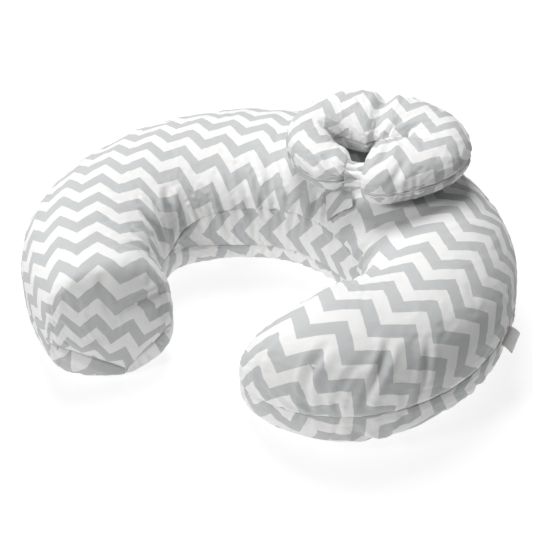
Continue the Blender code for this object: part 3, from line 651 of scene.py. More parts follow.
# ---------------------------------------------------------------- cloth
SIM_FRAMES = 20
SEED = 4
AIR_PRESSURE = 4.0
CLOTH_STIFFNESS, CLOTH_BENDING = 8.0, 0.4


def inflate(obj, pinned, grow, limit):
    """Run cloth with air inside and keep the result. pinned: vertex weights from 0
    to 1; grow: how much longer each spot's cloth is than the shape it starts from;
    limit: how far a vertex may move."""
    start = vertex_array(obj.data)
    pins = obj.vertex_groups.new(name="pins")
    spare = obj.vertex_groups.new(name="spare")
    most = float(grow.max())
    for index in range(len(obj.data.vertices)):
        if pinned[index] > 0.0:
            pins.add([index], float(pinned[index]), "REPLACE")
        spare.add([index], float(grow[index] / most), "REPLACE")
    cloth = obj.modifiers.new("cloth", "CLOTH")
    settings = cloth.settings
    settings.quality = 6
    settings.mass = 0.15
    settings.tension_stiffness = CLOTH_STIFFNESS
    settings.compression_stiffness = CLOTH_STIFFNESS
    settings.shear_stiffness = CLOTH_STIFFNESS / 2.0
    settings.bending_stiffness = CLOTH_BENDING
    settings.use_pressure = True
    settings.uniform_pressure_force = AIR_PRESSURE
    settings.effector_weights.gravity = 0.0
    settings.vertex_group_mass = "pins"
    settings.vertex_group_shrink = "spare"
    settings.shrink_min = 0.0
    settings.shrink_max = -most
    cloth.collision_settings.use_collision = False
    cloth.collision_settings.use_self_collision = False
    cloth.point_cache.frame_start = 1
    cloth.point_cache.frame_end = SIM_FRAMES
    scene = bpy.context.scene
    for number in range(1, SIM_FRAMES + 1):
        scene.frame_set(number)
    graph = bpy.context.evaluated_depsgraph_get()
    moved = vertex_array(obj.evaluated_get(graph).data) - start
    obj.modifiers.remove(cloth)
    scene.frame_set(1)
    length = np.linalg.norm(moved, axis=1, keepdims=True)
    soft_limit = limit * np.tanh(length / limit) / np.maximum(length, 1e-9)
    write_vertices(obj.data, start + moved * soft_limit)


def seam_distance(points, seam):
    """Distance from each vertex to the nearest seam vertex."""
    tree = KDTree(int(seam.sum()))
    for index in np.flatnonzero(seam):
        tree.insert(points[index], int(index))
    tree.balance()
    return np.array([tree.find(point)[2] for point in points])


def lumps(points, size, height, seed):
    """Soft unevenness of a fibre filling: one number for each point."""
    offset = Vector((seed * 7.3, seed * 3.1, seed * 5.7))
    return height * np.array([noise.noise(Vector(p) / size + offset) for p in points])


FOLD_STEPS = 6
FOLD_LIP = 0.42           # height of the lip, of the fold's depth
FOLD_LIP_AT, FOLD_LIP_WIDTH = 2.3, 1.1    # in widths of the fold
FOLD_ROUNDING = 0.7       # below 1 a fold keeps its depth nearly to its ends


class Folds:
    """Fold lines pressed into stuffed cloth, each with a raised lip on both sides.
    place(s, t) gives a point of the surface and the way in from it."""

    def __init__(self, place):
        self.place = place
        self.lines = []

    def add(self, start, end, width, depth):
        """A fold from one s and t to another."""
        both = [self.place(s, t) for s, t in np.linspace(start, end, FOLD_STEPS + 1)]
        inwards = np.array([way for point, way in both])
        inwards /= np.linalg.norm(inwards, axis=1, keepdims=True)
        self.lines.append((np.array([point for point, way in both]), inwards * depth, width))

    def press(self, points):
        """The points moved by every fold, the same way for all panels that share them."""
        shape = points.shape
        points = points.reshape(-1, 3)
        moved = np.zeros(points.shape)
        for line, push, width in self.lines:
            middle = line.mean(0)
            reach = np.linalg.norm(line - middle, axis=1).max() + 4.0 * width
            near = np.flatnonzero(((points - middle) ** 2).sum(1) < reach ** 2)
            if len(near) == 0:
                continue
            away, place = line_distance(points[near], line)
            along = place / (len(line) - 1)
            taper = np.clip(4.0 * along * (1.0 - along), 0.0, 1.0) ** FOLD_ROUNDING
            away = away / width
            lip = np.exp(-((away - FOLD_LIP_AT) / FOLD_LIP_WIDTH) ** 2)
            profile = np.exp(-away) - FOLD_LIP * lip
            way = np.stack([np.interp(place, np.arange(len(line)), push[:, k]) for k in range(3)], -1)
            moved[near] += (taper * profile)[:, None] * way
        return (points + moved).reshape(shape)


def line_distance(points, line):
    """Distance of each point from a line of points, and where along it, in steps."""
    least = np.full(len(points), np.inf)
    place = np.zeros(len(points))
    for number, (start, end) in enumerate(zip(line, line[1:])):
        step = end - start
        share = np.clip((points - start) @ step / (step @ step), 0.0, 1.0)
        away = np.linalg.norm(points - start - share[:, None] * step, axis=1)
        nearer = away < least
        least[nearer] = away[nearer]
        place[nearer] = number + share[nearer]
    return least, place


# ---------------------------------------------------------------- materials
class Shade:
    """A Principled material, with short ways to add nodes to it."""

    def __init__(self, name, color, roughness, metallic=0.0, sheen=0.0):
        self.material = bpy.data.materials.new(name)
        self.material.use_nodes = True
        self.tree = self.material.node_tree
        self.shader = self.tree.nodes["Principled BSDF"]
        self.shader.inputs["Base Color"].default_value = (*color, 1.0)
        self.shader.inputs["Roughness"].default_value = roughness
        self.shader.inputs["Metallic"].default_value = metallic
        self.shader.inputs["Sheen Weight"].default_value = sheen
        self.shader.inputs["Sheen Roughness"].default_value = 0.5
        self.place = self.node("ShaderNodeTexCoord").outputs["Object"]

    def node(self, kind, **inputs):
        node = self.tree.nodes.new(kind)
        for name, value in inputs.items():
            self.put(node.inputs[name.replace("_", " ")], value)
        return node

    def put(self, socket, value):
        if isinstance(value, bpy.types.NodeSocket):
            self.tree.links.new(value, socket)
        else:
            socket.default_value = value

    def math(self, operation, *values):
        node = self.tree.nodes.new("ShaderNodeMath")
        node.operation = operation
        for socket, value in zip(node.inputs, values):
            self.put(socket, value)
        return node.outputs[0]

    def noise(self, scale, detail=2.0, distortion=0.0, place=None):
        node = self.node("ShaderNodeTexNoise", Vector=place or self.place, Scale=scale,
                         Detail=detail, Distortion=distortion)
        return node.outputs["Fac"]

    def ramp(self, value, low, high, to_low=0.0, to_high=1.0):
        node = self.node("ShaderNodeMapRange", Value=value, From_Min=low, From_Max=high,
                         To_Min=to_low, To_Max=to_high)
        node.interpolation_type = "SMOOTHSTEP"
        return node.outputs["Result"]

    def mix(self, share, first, second):
        node = self.tree.nodes.new("ShaderNodeMix")
        node.data_type = "RGBA"
        for name, value in (("Factor", share), ("A", first), ("B", second)):
            socket = [s for s in node.inputs if s.name == name and s.enabled][0]
            self.put(socket, (*value, 1.0) if isinstance(value, tuple) else value)
        return [s for s in node.outputs if s.enabled][0]

    def color(self, value):
        self.put(self.shader.inputs["Base Color"], value)

    def bumps(self, *layers):
        """Height layers, each (value, height in metres, strength), one on the other."""
        normal = None
        for value, distance, strength in layers:
            bump = self.node("ShaderNodeBump", Height=value, Distance=distance, Strength=strength)
            if normal is not None:
                self.put(bump.inputs["Normal"], normal)
            normal = bump.outputs["Normal"]
        self.put(self.shader.inputs["Normal"], normal)


COTTON_WHITE = (0.86, 0.855, 0.85)
COTTON_GREY = (0.545, 0.555, 0.56)
INK_EDGE = 0.07           # softness of the print's edges
THREAD = 0.00055


def weave(shade, u, v):
    """Height of a plain weave over cloth coordinates in metres."""
    turns = 2.0 * math.pi / THREAD
    warp = shade.math("SINE", shade.math("MULTIPLY", u, turns))
    weft = shade.math("SINE", shade.math("MULTIPLY", v, turns))
    return shade.math("MULTIPLY", warp, weft)


def tinted(color, share):
    return tuple(min(1.0, c * share) for c in color)


def chevron_cotton():
    """Grey and white stripes in zigzags, from the counts that each point of the cloth
    carries."""
    shade = Shade("printed_cotton", COTTON_WHITE, 0.86, sheen=0.12)
    printed = shade.node("ShaderNodeAttribute")
    printed.attribute_name = "print"
    counts = shade.node("ShaderNodeSeparateXYZ", Vector=printed.outputs["Vector"])
    points, stripes, swing = (counts.outputs[axis] for axis in "XYZ")
    zigzag = shade.math("PINGPONG", points, 0.5)
    zigzag = shade.math("SUBTRACT", 1.0, shade.math("MULTIPLY", zigzag, 2.0))
    bleed = shade.math("MULTIPLY", shade.math("SUBTRACT", shade.noise(420.0, 3.0), 0.5), 0.03)
    count = shade.math("ADD", shade.math("MULTIPLY_ADD", zigzag, swing, stripes), bleed)
    wave = shade.math("SINE", shade.math("MULTIPLY", count, 2.0 * math.pi))
    ink = shade.ramp(wave, -INK_EDGE, INK_EDGE)
    uneven = shade.noise(14.0, 3.0)
    grey = shade.mix(uneven, tinted(COTTON_GREY, 0.95), tinted(COTTON_GREY, 1.05))
    white = shade.mix(uneven, tinted(COTTON_WHITE, 0.97), tinted(COTTON_WHITE, 1.02))
    shade.color(shade.mix(ink, white, grey))
    threads = weave(shade, shade.math("MULTIPLY", points, ZIGZAG_PITCH),
                    shade.math("MULTIPLY", stripes, LEFT_BAND))
    shade.bumps((shade.noise(38.0, 3.0, 0.8), 0.0022, 0.55),
                (shade.noise(170.0, 2.0, 0.4), 0.0005, 0.35),
                (threads, 0.00008, 0.5))
    return shade.material


def plain_cloth(name, color, roughness, thread_scale, sheen=0.1):
    """Unprinted cloth: a fine check of threads and slightly uneven colour."""
    shade = Shade(name, color, roughness, sheen=sheen)
    shade.color(shade.mix(shade.noise(60.0, 3.0), tinted(color, 0.93), tinted(color, 1.03)))
    checks = [shade.node("ShaderNodeTexWave", Vector=shade.place, Scale=thread_scale) for _ in range(2)]
    checks[1].bands_direction = "Z"
    threads = shade.math("ADD", checks[0].outputs["Fac"], checks[1].outputs["Fac"])
    shade.bumps((shade.noise(180.0, 2.0), 0.0004, 0.3), (threads, 0.0001, 0.5))
    return shade.material


def loose_fibre():
    shade = Shade("polyester_fibre", (0.95, 0.95, 0.95), 1.0, sheen=0.2)
    strands = shade.noise(260.0, 6.0, 3.0)
    shade.color(shade.mix(strands, (0.86, 0.86, 0.87), (0.97, 0.97, 0.97)))
    shade.bumps((shade.noise(45.0, 4.0, 1.0), 0.003, 0.6), (strands, 0.0008, 0.8))
    return shade.material


def fuzzy_tape():
    """Hook-and-loop tape: a field of tiny tufts."""
    shade = Shade("hook_and_loop_tape", (0.72, 0.72, 0.73), 0.95, sheen=0.4)
    cells = shade.node("ShaderNodeTexVoronoi", Vector=shade.place, Scale=1100.0)
    tufts = cells.outputs["Distance"]
    shade.color(shade.mix(tufts, (0.80, 0.80, 0.81), (0.55, 0.55, 0.57)))
    shade.bumps((tufts, 0.0004, 0.9))
    return shade.material


def worn_metal():
    shade = Shade("plated_metal", (0.72, 0.72, 0.73), 0.3, metallic=1.0)
    rubbed = shade.noise(900.0, 4.0, 1.5)
    shade.color(shade.mix(rubbed, (0.62, 0.62, 0.64), (0.80, 0.80, 0.81)))
    shade.put(shade.shader.inputs["Roughness"], shade.ramp(rubbed, 0.3, 0.7, 0.22, 0.42))
    shade.bumps((rubbed, 0.00004, 0.4))
    return shade.material


def nylon_teeth():
    """The coil's teeth, a pitch apart round the back's arc and along it, with painted shade in the gaps
    between them.
    """
    shade = Shade("nylon_coil", (0.82, 0.83, 0.84), 0.42)
    teeth = shade.node("ShaderNodeTexWave", Vector=shade.place, Scale=320.0)
    # colour from the same wave as the bumps: lighter on the raised teeth, darker in the low gaps as
    # painted shade
    shade.color(shade.mix(teeth.outputs["Fac"], (0.70, 0.71, 0.72), (0.88, 0.89, 0.90)))
    shade.bumps((teeth.outputs["Fac"], 0.0004, 0.9))
    return shade.material


def satin():
    shade = Shade("label_satin", (0.93, 0.92, 0.90), 0.42, sheen=0.25)
    floats = shade.node("ShaderNodeTexWave", Vector=shade.place, Scale=700.0)
    floats.bands_direction = "Y"
    shade.color(shade.mix(shade.noise(120.0), (0.88, 0.87, 0.85), (0.96, 0.95, 0.93)))
    shade.bumps((floats.outputs["Fac"], 0.00006, 0.5))
    return shade.material


# ---------------------------------------------------------------- big pillow
COVER_THICK = 0.0012
CASE_DEPTH, FILL_DEPTH = 0.0030, 0.0065
BODY_SPARE = 0.018                        # share by which the cloth is longer than the form
SEAM_SPARE, SEAM_REACH = 0.055, 0.022     # more of it eased into the seams
SWELL_LIMIT = 0.012
LUMP_SIZE, LUMP_HEIGHT, LUMP_FADE = 0.055, 0.0022, 0.03
START_ROUGHNESS = 0.0003
SEAM_SINK = 0.0022                        # the stitches pull the seams in
FINER = 3                                 # cells of the finished panels for each simulated one


class Cushion:
    """A stuffed cover from several grids: one closed mesh, swollen, then cut into
    its panels again."""

    def __init__(self, name, grids, closing=()):
        self.grids = grids
        parts = [grid.points for grid in grids] + list(closing)
        self.obj = closed_cage(name, parts)
        self.start = vertex_array(self.obj.data)
        self.finder = Finder(self.start)
        self.seam = seam_weights(self.obj.data)
        self.seam_away = seam_distance(self.start, self.seam)

    def swell(self, body_spare, seam_spare, seam_reach, limit, seed):
        """Fill the cover with air, with spare cloth all over and more near the seams,
        then let the stitches pull the seams in."""
        rng = np.random.default_rng(SEED + seed)
        free = (1.0 - self.seam)[:, None]
        bulge = lumps(self.start, LUMP_SIZE, LUMP_HEIGHT, seed) * smooth(self.seam_away / LUMP_FADE)
        rough = rng.normal(0.0, START_ROUGHNESS, self.start.shape) * free
        self.change(self.start + self.normals() * bulge[:, None] + rough)
        spare = body_spare + seam_spare * np.exp(-(self.seam_away / seam_reach) ** 2)
        inflate(self.obj, self.seam, spare, limit)
        self.change(self.points() - self.normals() * (SEAM_SINK * self.seam)[:, None])

    def change(self, points):
        write_vertices(self.obj.data, points)

    def points(self):
        return vertex_array(self.obj.data)

    def normals(self):
        return normal_array(self.obj.data)

    def panel(self, number):
        """One panel's grid of points as they are now."""
        return self.points()[self.finder.index(self.grids[number].points)]

    def cover(self, number, name, shape, outwards, material, thickness):
        """One panel of the cover as a finer cloth, its points changed by shape."""
        return cloth_piece(name, shape(finer(self.panel(number), FINER)),
                           finer(self.grids[number].counts, FINER), outwards,
                           material, thickness, 0)

    def inner_copy(self, name, depth, material):
        """A closed layer inside the cover."""
        mesh = self.obj.data.copy()
        write_vertices(mesh, self.points() - self.normals() * depth)
        copy = new_object(name, mesh)
        finish_cloth(copy, material, 0.0, 0)
        return copy

    def surface(self):
        """The cushion as it is now, for finding what lies on it."""
        faces = [tuple(face.vertices) for face in self.obj.data.polygons]
        return BVHTree.FromPolygons([Vector(p) for p in self.points()], faces)

    def remove(self):
        bpy.data.objects.remove(self.obj)


PUCKER_LEAN = 0.007       # how far the ends of a pucker lie apart along the seam
PUCKER_ROWS = (
    # from s, to s, t of the seam, reach in t, mean step, width, depth
    (-0.50, -0.12, 0.0, 0.60, 0.024, 0.0032, 0.0024),
    (-0.12, 0.12, 0.0, 0.45, 0.028, 0.0032, 0.0016),
    (0.12, 0.53, 0.0, 0.60, 0.017, 0.0032, 0.0030),
    (-0.26, -0.10, 2.80, 0.60, 0.018, 0.0032, 0.0042),
    (-0.10, 0.22, 2.80, 0.75, 0.015, 0.0032, 0.0046),
    (0.22, 0.34, 2.90, 0.50, 0.022, 0.0034, 0.0034),
    (-0.20, 0.24, -2.85, 0.40, 0.018, 0.0034, 0.0032),
    (0.34, 0.50, 3.10, 0.60, 0.016, 0.0036, 0.0036),
    (-0.50, -0.30, 3.10, 0.55, 0.020, 0.0036, 0.0034),
)
DEEP_FOLDS = (
    # s and t at the start and the end, width, depth
    (-0.028, 2.90, -0.074, 1.95, 0.0046, 0.0090),
    (-0.060, 2.95, -0.090, 2.30, 0.0036, 0.0050),
    (-0.090, 2.90, -0.122, 2.00, 0.0042, 0.0080),
    (-0.150, 2.90, -0.165, 2.15, 0.0040, 0.0060),
    (0.056, 2.90, 0.024, 2.05, 0.0046, 0.0085),
    (0.084, 2.95, 0.070, 2.30, 0.0036, 0.0055),
    (0.110, 2.90, 0.122, 2.10, 0.0040, 0.0070),
    (-0.320, 3.05, -0.255, 2.20, 0.0046, 0.0080),
    (-0.342, 3.05, -0.300, 2.30, 0.0036, 0.0050),
    (-0.365, 3.05, -0.342, 2.20, 0.0042, 0.0070),
    (-0.430, 2.90, -0.405, 2.15, 0.0040, 0.0060),
    (-0.496, 1.55, -0.488, 2.60, 0.0040, 0.0080),
    (-0.502, 0.70, -0.500, 1.50, 0.0034, 0.0045),
    (-0.450, 2.75, -0.440, 1.85, 0.0036, 0.0050),
    (0.385, 0.02, 0.368, 0.85, 0.0040, 0.0060),
    (0.425, 0.02, 0.395, 1.05, 0.0044, 0.0085),
    (0.446, 0.02, 0.420, 0.75, 0.0036, 0.0055),
    (0.466, 0.05, 0.430, 1.10, 0.0042, 0.0080),
    (0.498, 0.20, 0.458, 1.25, 0.0040, 0.0070),
    (0.518, 2.70, 0.466, 1.80, 0.0040, 0.0065),
    (0.490, 2.90, 0.450, 2.20, 0.0036, 0.0050),
    (0.465, 3.05, 0.426, 2.15, 0.0042, 0.0070),
    (0.405, 3.05, 0.382, 2.20, 0.0040, 0.0060),
    (0.330, -0.05, 0.318, -0.80, 0.0044, 0.0060),
    (0.430, -0.05, 0.400, -1.00, 0.0044, 0.0065),
)


def pillow_folds(pillow):
    """Puckers across the seams, where more cloth is eased in, and the deep folds where
    the stuffed arms bend and end."""
    rng = np.random.default_rng(SEED + 20)
    folds = Folds(pillow.fold_place)
    for first, last, seam, reach, step, width, depth in PUCKER_ROWS:
        s = first + step * rng.uniform(0.2, 0.8)
        while s < last:
            lean = rng.normal(0.0, PUCKER_LEAN)
            over, under = reach * rng.uniform(0.35, 1.15, 2)
            if seam == 0.0:
                start, end = over, -under
            else:
                side = math.copysign(1.0, seam)
                start, end = seam - side * over, side * min(abs(seam) + under, math.pi)
            folds.add((s + lean, start), (s - lean, end),
                      width * rng.uniform(0.8, 1.3), depth * rng.uniform(0.35, 1.2))
            s += step * rng.uniform(0.55, 1.5)
    for s0, t0, s1, t1, width, depth in DEEP_FOLDS:
        folds.add((s0, t0), (s1, t1), width, depth)
    return folds


def make_big_pillow(pillow, paint):
    """The cover's panels, the inner case and the filling. Gives back the surface that
    the other pieces lie on."""
    chart = PrintChart()
    grids = [panel_grid(pillow, chart, True), panel_grid(pillow, chart, False), gusset_grid(pillow)]
    top, bottom = grids[0].points, grids[1].points
    zipped = np.flatnonzero(np.linalg.norm(top[:, 0] - bottom[:, 0], axis=1) > 1e-5)
    rows = slice(zipped[0] - 1, zipped[-1] + 2)
    behind_zip = np.stack([top[rows, 0], bottom[rows, 0]], 1)
    cushion = Cushion("big_cushion", grids, [behind_zip])
    cushion.swell(BODY_SPARE, SEAM_SPARE, SEAM_REACH, SWELL_LIMIT, 1)
    folds = pillow_folds(pillow)

    def settle(points):
        """The folds pressed in, and nothing below the floor."""
        points = folds.press(points)
        points[..., 2] = np.maximum(points[..., 2], ROW_ORIGIN[2])
        return points

    for number, name, outwards in ((0, "cushion_top", (0, 0, 1)), (1, "cushion_bottom", (0, 0, -1)),
                                   (2, "cushion_gusset", (0, -1, 0))):
        piece = cushion.cover(number, name, settle, outwards, paint["chevron"], COVER_THICK)
        enlist(piece, "chevron_cotton", "main_pillow", name.replace("cushion", "main_cover"))
    cushion.change(settle(cushion.points()))
    case = cushion.inner_copy("inner_case", CASE_DEPTH, paint["case"])
    enlist(case, "case_cotton", "main_pillow", "main_case_top", "main_case_bottom")
    filling = cushion.inner_copy("fibre_filling", FILL_DEPTH, paint["fibre"])
    enlist(filling, "fibre", "main_pillow", "main_fill")
    surface = cushion.surface()
    cushion.remove()
    return surface


# ---------------------------------------------------------------- head pillow
HEAD_COVER_THICK = 0.0010
HEAD_FILL_DEPTH = 0.0045
HEAD_BODY_SPARE = 0.02
HEAD_SEAM_SPARE, HEAD_SEAM_REACH = 0.06, 0.014
HEAD_SWELL_LIMIT = 0.0035
LIE_GAP = 0.0010


def ground_under(surface, x, y):
    """Where a line straight down meets the big pillow, or None beside it."""
    hit = surface.ray_cast(Vector((x, y, 0.5)), Vector((0.0, 0.0, -1.0)))[0]
    return None if hit is None else hit.z


def rest_on(surface, points, gap):
    """Lift points that lie too low onto the surface."""
    for point in points:
        low = ground_under(surface, point[0], point[1])
        if low is not None:
            point[2] = max(point[2], low + gap)
    return points


RING_FOLDS = (
    # share of the way round and t at the start and the end, width, depth
    (0.518, -0.70, 0.516, 2.20, 0.0060, 0.0090),
    (0.610, -0.20, 0.600, 1.30, 0.0050, 0.0045),
    (0.470, -0.20, 0.480, 1.20, 0.0050, 0.0040),
    (0.050, 0.10, 0.110, 1.40, 0.0040, 0.0040),
    (0.020, 1.00, 0.090, 2.00, 0.0040, 0.0045),
    (0.985, 0.60, 0.930, 1.60, 0.0040, 0.0045),
    (0.960, 0.20, 0.900, 1.10, 0.0040, 0.0040),
    (0.200, 3.00, 0.215, 1.80, 0.0045, 0.0050),
    (0.300, 3.00, 0.330, 1.90, 0.0045, 0.0050),
    (0.420, 3.00, 0.410, 2.00, 0.0050, 0.0055),
    (0.640, 3.00, 0.650, 2.00, 0.0050, 0.0055),
    (0.780, 3.00, 0.770, 1.90, 0.0045, 0.0050),
)
RING_PUCKER_STEP, RING_PUCKER_REACH, RING_PUCKER_LEAN = 0.016, 0.75, 0.006
RING_PUCKER_WIDTH, RING_PUCKER_DEPTH = 0.0030, 0.0032


def ring_folds(ring):
    """Puckers round the outer and inner seams, and the deeper folds of the bent ring."""
    rng = np.random.default_rng(SEED + 40)
    folds = Folds(ring.fold_place)
    for seam in (0.0, math.pi):
        share = 0.02
        while share < 0.98:
            lean = rng.normal(0.0, RING_PUCKER_LEAN)
            up, down = RING_PUCKER_REACH * rng.uniform(0.35, 1.0, 2)
            folds.add((share + lean, seam - up), (share - lean, seam + down),
                      RING_PUCKER_WIDTH * rng.uniform(0.8, 1.3),
                      RING_PUCKER_DEPTH * rng.uniform(0.4, 1.2))
            share += RING_PUCKER_STEP / ring.length * rng.uniform(0.6, 1.6)
    for start_share, start_t, end_share, end_t, width, depth in RING_FOLDS:
        folds.add((start_share, start_t), (end_share, end_t), width, depth)
    return folds


def make_head_pillow(pillow, surface, paint):
    """The ring's two panels and its filling. Gives back the ring's form."""
    ring = HeadRing(pillow)
    grids = [ring_grid(ring, True), ring_grid(ring, False)]
    cushion = Cushion("head_cushion", grids)
    cushion.swell(HEAD_BODY_SPARE, HEAD_SEAM_SPARE, HEAD_SEAM_REACH, HEAD_SWELL_LIMIT, 2)
    cushion.change(rest_on(surface, cushion.points(), LIE_GAP))
    folds = ring_folds(ring)
    for number, name, outwards in ((0, "head_cushion_top", (0, 0, 1)),
                                   (1, "head_cushion_bottom", (0, 0, -1))):
        piece = cushion.cover(number, name, folds.press, outwards, paint["chevron"], HEAD_COVER_THICK)
        enlist(piece, "chevron_cotton", "head_pillow", name.replace("cushion", "cover"))
    cushion.change(folds.press(cushion.points()))
    filling = cushion.inner_copy("head_filling", HEAD_FILL_DEPTH, paint["fibre"])
    enlist(filling, "fibre", "head_pillow", "head_fill")
    cushion.remove()
    return ring


BRIDGE_HALF_LENGTH = 0.0100
BRIDGE_HALF_WIDTH, BRIDGE_HALF_HEIGHT = 0.0150, 0.0150
BRIDGE_WAIST = 0.16       # how much thinner it is in the middle
BRIDGE_GIRTH = 1.6        # length of cloth per radian, of the half width
PLEATS = 9
PLEAT_DEPTH = 0.0016
PLEAT_DRIFT, PLEAT_TWIST = 0.7, 0.5


def make_bridge(ring, paint):
    """The gathered casing across the gap: a short oval sleeve in deep pleats."""
    first, second = np.array(ring.plan(0.0, 0.0)), np.array(ring.plan(ring.length, 0.0))
    middle = (first + second) / 2.0
    along = (first - second) / np.linalg.norm(first - second)
    height = ring.base(np.array([middle[0]]), np.array([middle[1]]))[0]
    rows, counts = [], []
    angle = np.linspace(0.0, 2.0 * math.pi, 16 * PLEATS + 1)
    for w in np.linspace(-1.0, 1.0, 13):
        waist = 1.0 - BRIDGE_WAIST * (1.0 - w * w)
        swing = angle * PLEATS + PLEAT_DRIFT * np.sin(2.0 * angle) + PLEAT_TWIST * w
        fold = PLEAT_DEPTH * (1.0 - np.abs(np.sin(swing / 2.0)) ** 0.7 * 2.0) * (1.15 - 0.4 * w * w)
        out_y = (BRIDGE_HALF_WIDTH * waist - fold) * np.cos(angle)
        out_z = (BRIDGE_HALF_HEIGHT * waist - fold) * np.sin(angle)
        x = middle[0] + along[0] * w * BRIDGE_HALF_LENGTH - along[1] * out_y
        y = middle[1] + along[1] * w * BRIDGE_HALF_LENGTH + along[0] * out_y
        rows.append(np.stack([x, y, height + out_z], -1))
        around = angle * BRIDGE_HALF_WIDTH * BRIDGE_GIRTH
        stripes = np.full(angle.shape, w * BRIDGE_HALF_LENGTH / RING_BAND + 0.35)
        swings = np.full(angle.shape, RING_SWING)
        counts.append(np.stack([around / RING_PITCH, stripes, swings], -1))
    casing = cloth_piece("gathered_casing", np.array(rows), counts, None, paint["chevron"],
                         HEAD_COVER_THICK)
    outside = casing.data.polygons[0]
    if outside.normal.dot(outside.center - Vector((*middle, height))) < 0.0:
        casing.data.flip_normals()
    enlist(casing, "chevron_cotton", "head_pillow", "head_bridge_casing")


# ---------------------------------------------------------------- tie flap, its patches, side label
FLAP_ROOT = (0.0433, 0.0630)
FLAP_TURN = math.radians(27.4)
FLAP_WIDTH, FLAP_LENGTH = 0.030, 0.030
FLAP_THICK = 0.0009
FLAP_LIFT = 0.0032
FLAP_SLIT = 0.0004        # between the flap and the tab that it hangs on
FLAP_CURL, FLAP_WAVE = 0.0035, 0.0005
TAB_LENGTH = 0.014
HEM_WIDTH, HEM_THICK, HEM_EDGE = 0.0035, 0.0007, 0.0012
PATCH_SIZE, PATCH_THICK, PATCH_START = 0.020, 0.0007, 0.006
LAID_SMOOTHING = 6        # rounds of evening out a strip over the folds below it
LOOP_LIFT, HOOK_LIFT = 0.0011, 0.0021


def laid_grid(surface, start, end, width, lift, shape=None, cells=18):
    """A strip laid on the big pillow below the flap's root, its top side at lift."""
    across = np.array((math.cos(FLAP_TURN), math.sin(FLAP_TURN)))
    down = np.array((across[1], -across[0]))
    points, counts = [], []
    for w in np.linspace(0.0, 1.0, cells + 1):
        row, row_counts = [], []
        for v in np.linspace(-0.5, 0.5, cells + 1):
            reach = start + (end - start) * w
            spot = np.array(FLAP_ROOT) + across * v * width + down * reach
            z = ground_under(surface, *spot) + lift + (shape(v, reach) if shape else 0.0)
            row.append((*spot, z))
            zigzags, stripes = v * width / RING_PITCH + 0.35, -reach / RING_BAND * 1.3 + 0.62
            row_counts.append((zigzags, stripes, RING_SWING))
        points.append(row)
        counts.append(row_counts)
    points = np.array(points)
    z = points[..., 2]
    for _ in range(LAID_SMOOTHING):
        around = z[:-2, 1:-1] + z[2:, 1:-1] + z[1:-1, :-2] + z[1:-1, 2:]
        z[1:-1, 1:-1] = (z[1:-1, 1:-1] + around / 4.0) / 2.0
    return points, np.array(counts)


def flap_form(v, reach):
    """Hems along the sides and the free end, and the corners curling up a little."""
    side = smooth((abs(v) * FLAP_WIDTH - FLAP_WIDTH / 2.0 + HEM_WIDTH) / HEM_EDGE)
    end = smooth((reach - FLAP_LENGTH + HEM_WIDTH) / HEM_EDGE)
    curl = FLAP_CURL * smooth(reach / FLAP_LENGTH) ** 2 * (2.0 * v) ** 2
    wave = FLAP_WAVE * math.sin(v * 14.0 + reach * 180.0)
    return float(HEM_THICK * max(side, end) + curl + wave)


def make_tie_flap(surface, paint):
    """The tab under the head pillow, the flap on it and the two patches below."""

    def strip(name, node, body, slot, start, end, width, lift, thick, shape=None):
        points, counts = laid_grid(surface, start, end, width, lift, shape)
        piece = cloth_piece(name, points, counts, (0, 0, 1), paint[slot], thick)
        enlist(piece, {"chevron": "chevron_cotton", "fuzz": "hook_and_loop"}[slot], body, node)
        return piece

    patch_end = PATCH_START + PATCH_SIZE
    loop = strip("loop_patch_pile", "loop_patch", "main_pillow", "fuzz", PATCH_START, patch_end,
                 PATCH_SIZE, LOOP_LIFT, PATCH_THICK)
    hook = strip("hook_patch_pile", "hook_patch", "tie_flap", "fuzz", PATCH_START, patch_end,
                 PATCH_SIZE, HOOK_LIFT, PATCH_THICK)
    flap = strip("tie_flap_cloth", "tie_flap", "tie_flap", "chevron", FLAP_SLIT, FLAP_LENGTH,
                 FLAP_WIDTH, FLAP_LIFT, FLAP_THICK, flap_form)
    tab = strip("tie_tab_cloth", "tie_tab_root", "head_pillow", "chevron", -TAB_LENGTH, 0.0,
                FLAP_WIDTH, FLAP_LIFT, FLAP_THICK)


LABEL_AT = 0.290
LABEL_WIDTH, LABEL_REACH = 0.032, 0.0105
LABEL_ROOT = 0.003        # how far it goes into the seam
LABEL_GAP, LABEL_THICK = 0.0012, 0.0004
LABEL_DROOP, LABEL_RIPPLE = 0.0075, 0.0004


def make_label(pillow, paint):
    """A blank satin tag, folded over and sewn into the outer seam."""
    length = LABEL_REACH + LABEL_ROOT
    root = pillow.section_point(np.array([LABEL_AT]), np.zeros(1), True)[0]
    heading = float(np.interp(LABEL_AT, pillow.s, pillow.heading))
    along = np.array((math.cos(heading), math.sin(heading), 0.0))
    outward = np.array((-along[1], along[0], 0.0))
    rows = []
    for turn in np.linspace(0.0, 1.0, 25):
        fold = abs(2.0 * turn - 1.0)
        out = length * (1.0 - fold) - LABEL_ROOT
        side = math.copysign(LABEL_GAP / 2.0, 0.5 - turn) * smooth(fold / 0.12)
        row = []
        for v in np.linspace(-0.5, 0.5, 13):
            droop = LABEL_DROOP * (max(out, 0.0) / LABEL_REACH) ** 1.6 * (1.0 + 0.5 * v)
            ripple = LABEL_RIPPLE * math.sin(v * 9.0 + out * 250.0)
            lift = (0.0, 0.0, side - droop + ripple)
            row.append(root + along * v * LABEL_WIDTH + outward * out + lift)
        rows.append(row)
    rows = np.array(rows)
    label = cloth_piece("folded_label", rows, np.zeros(rows.shape), None, paint["satin"], LABEL_THICK)
    enlist(label, "label_satin", "main_pillow", "side_label")


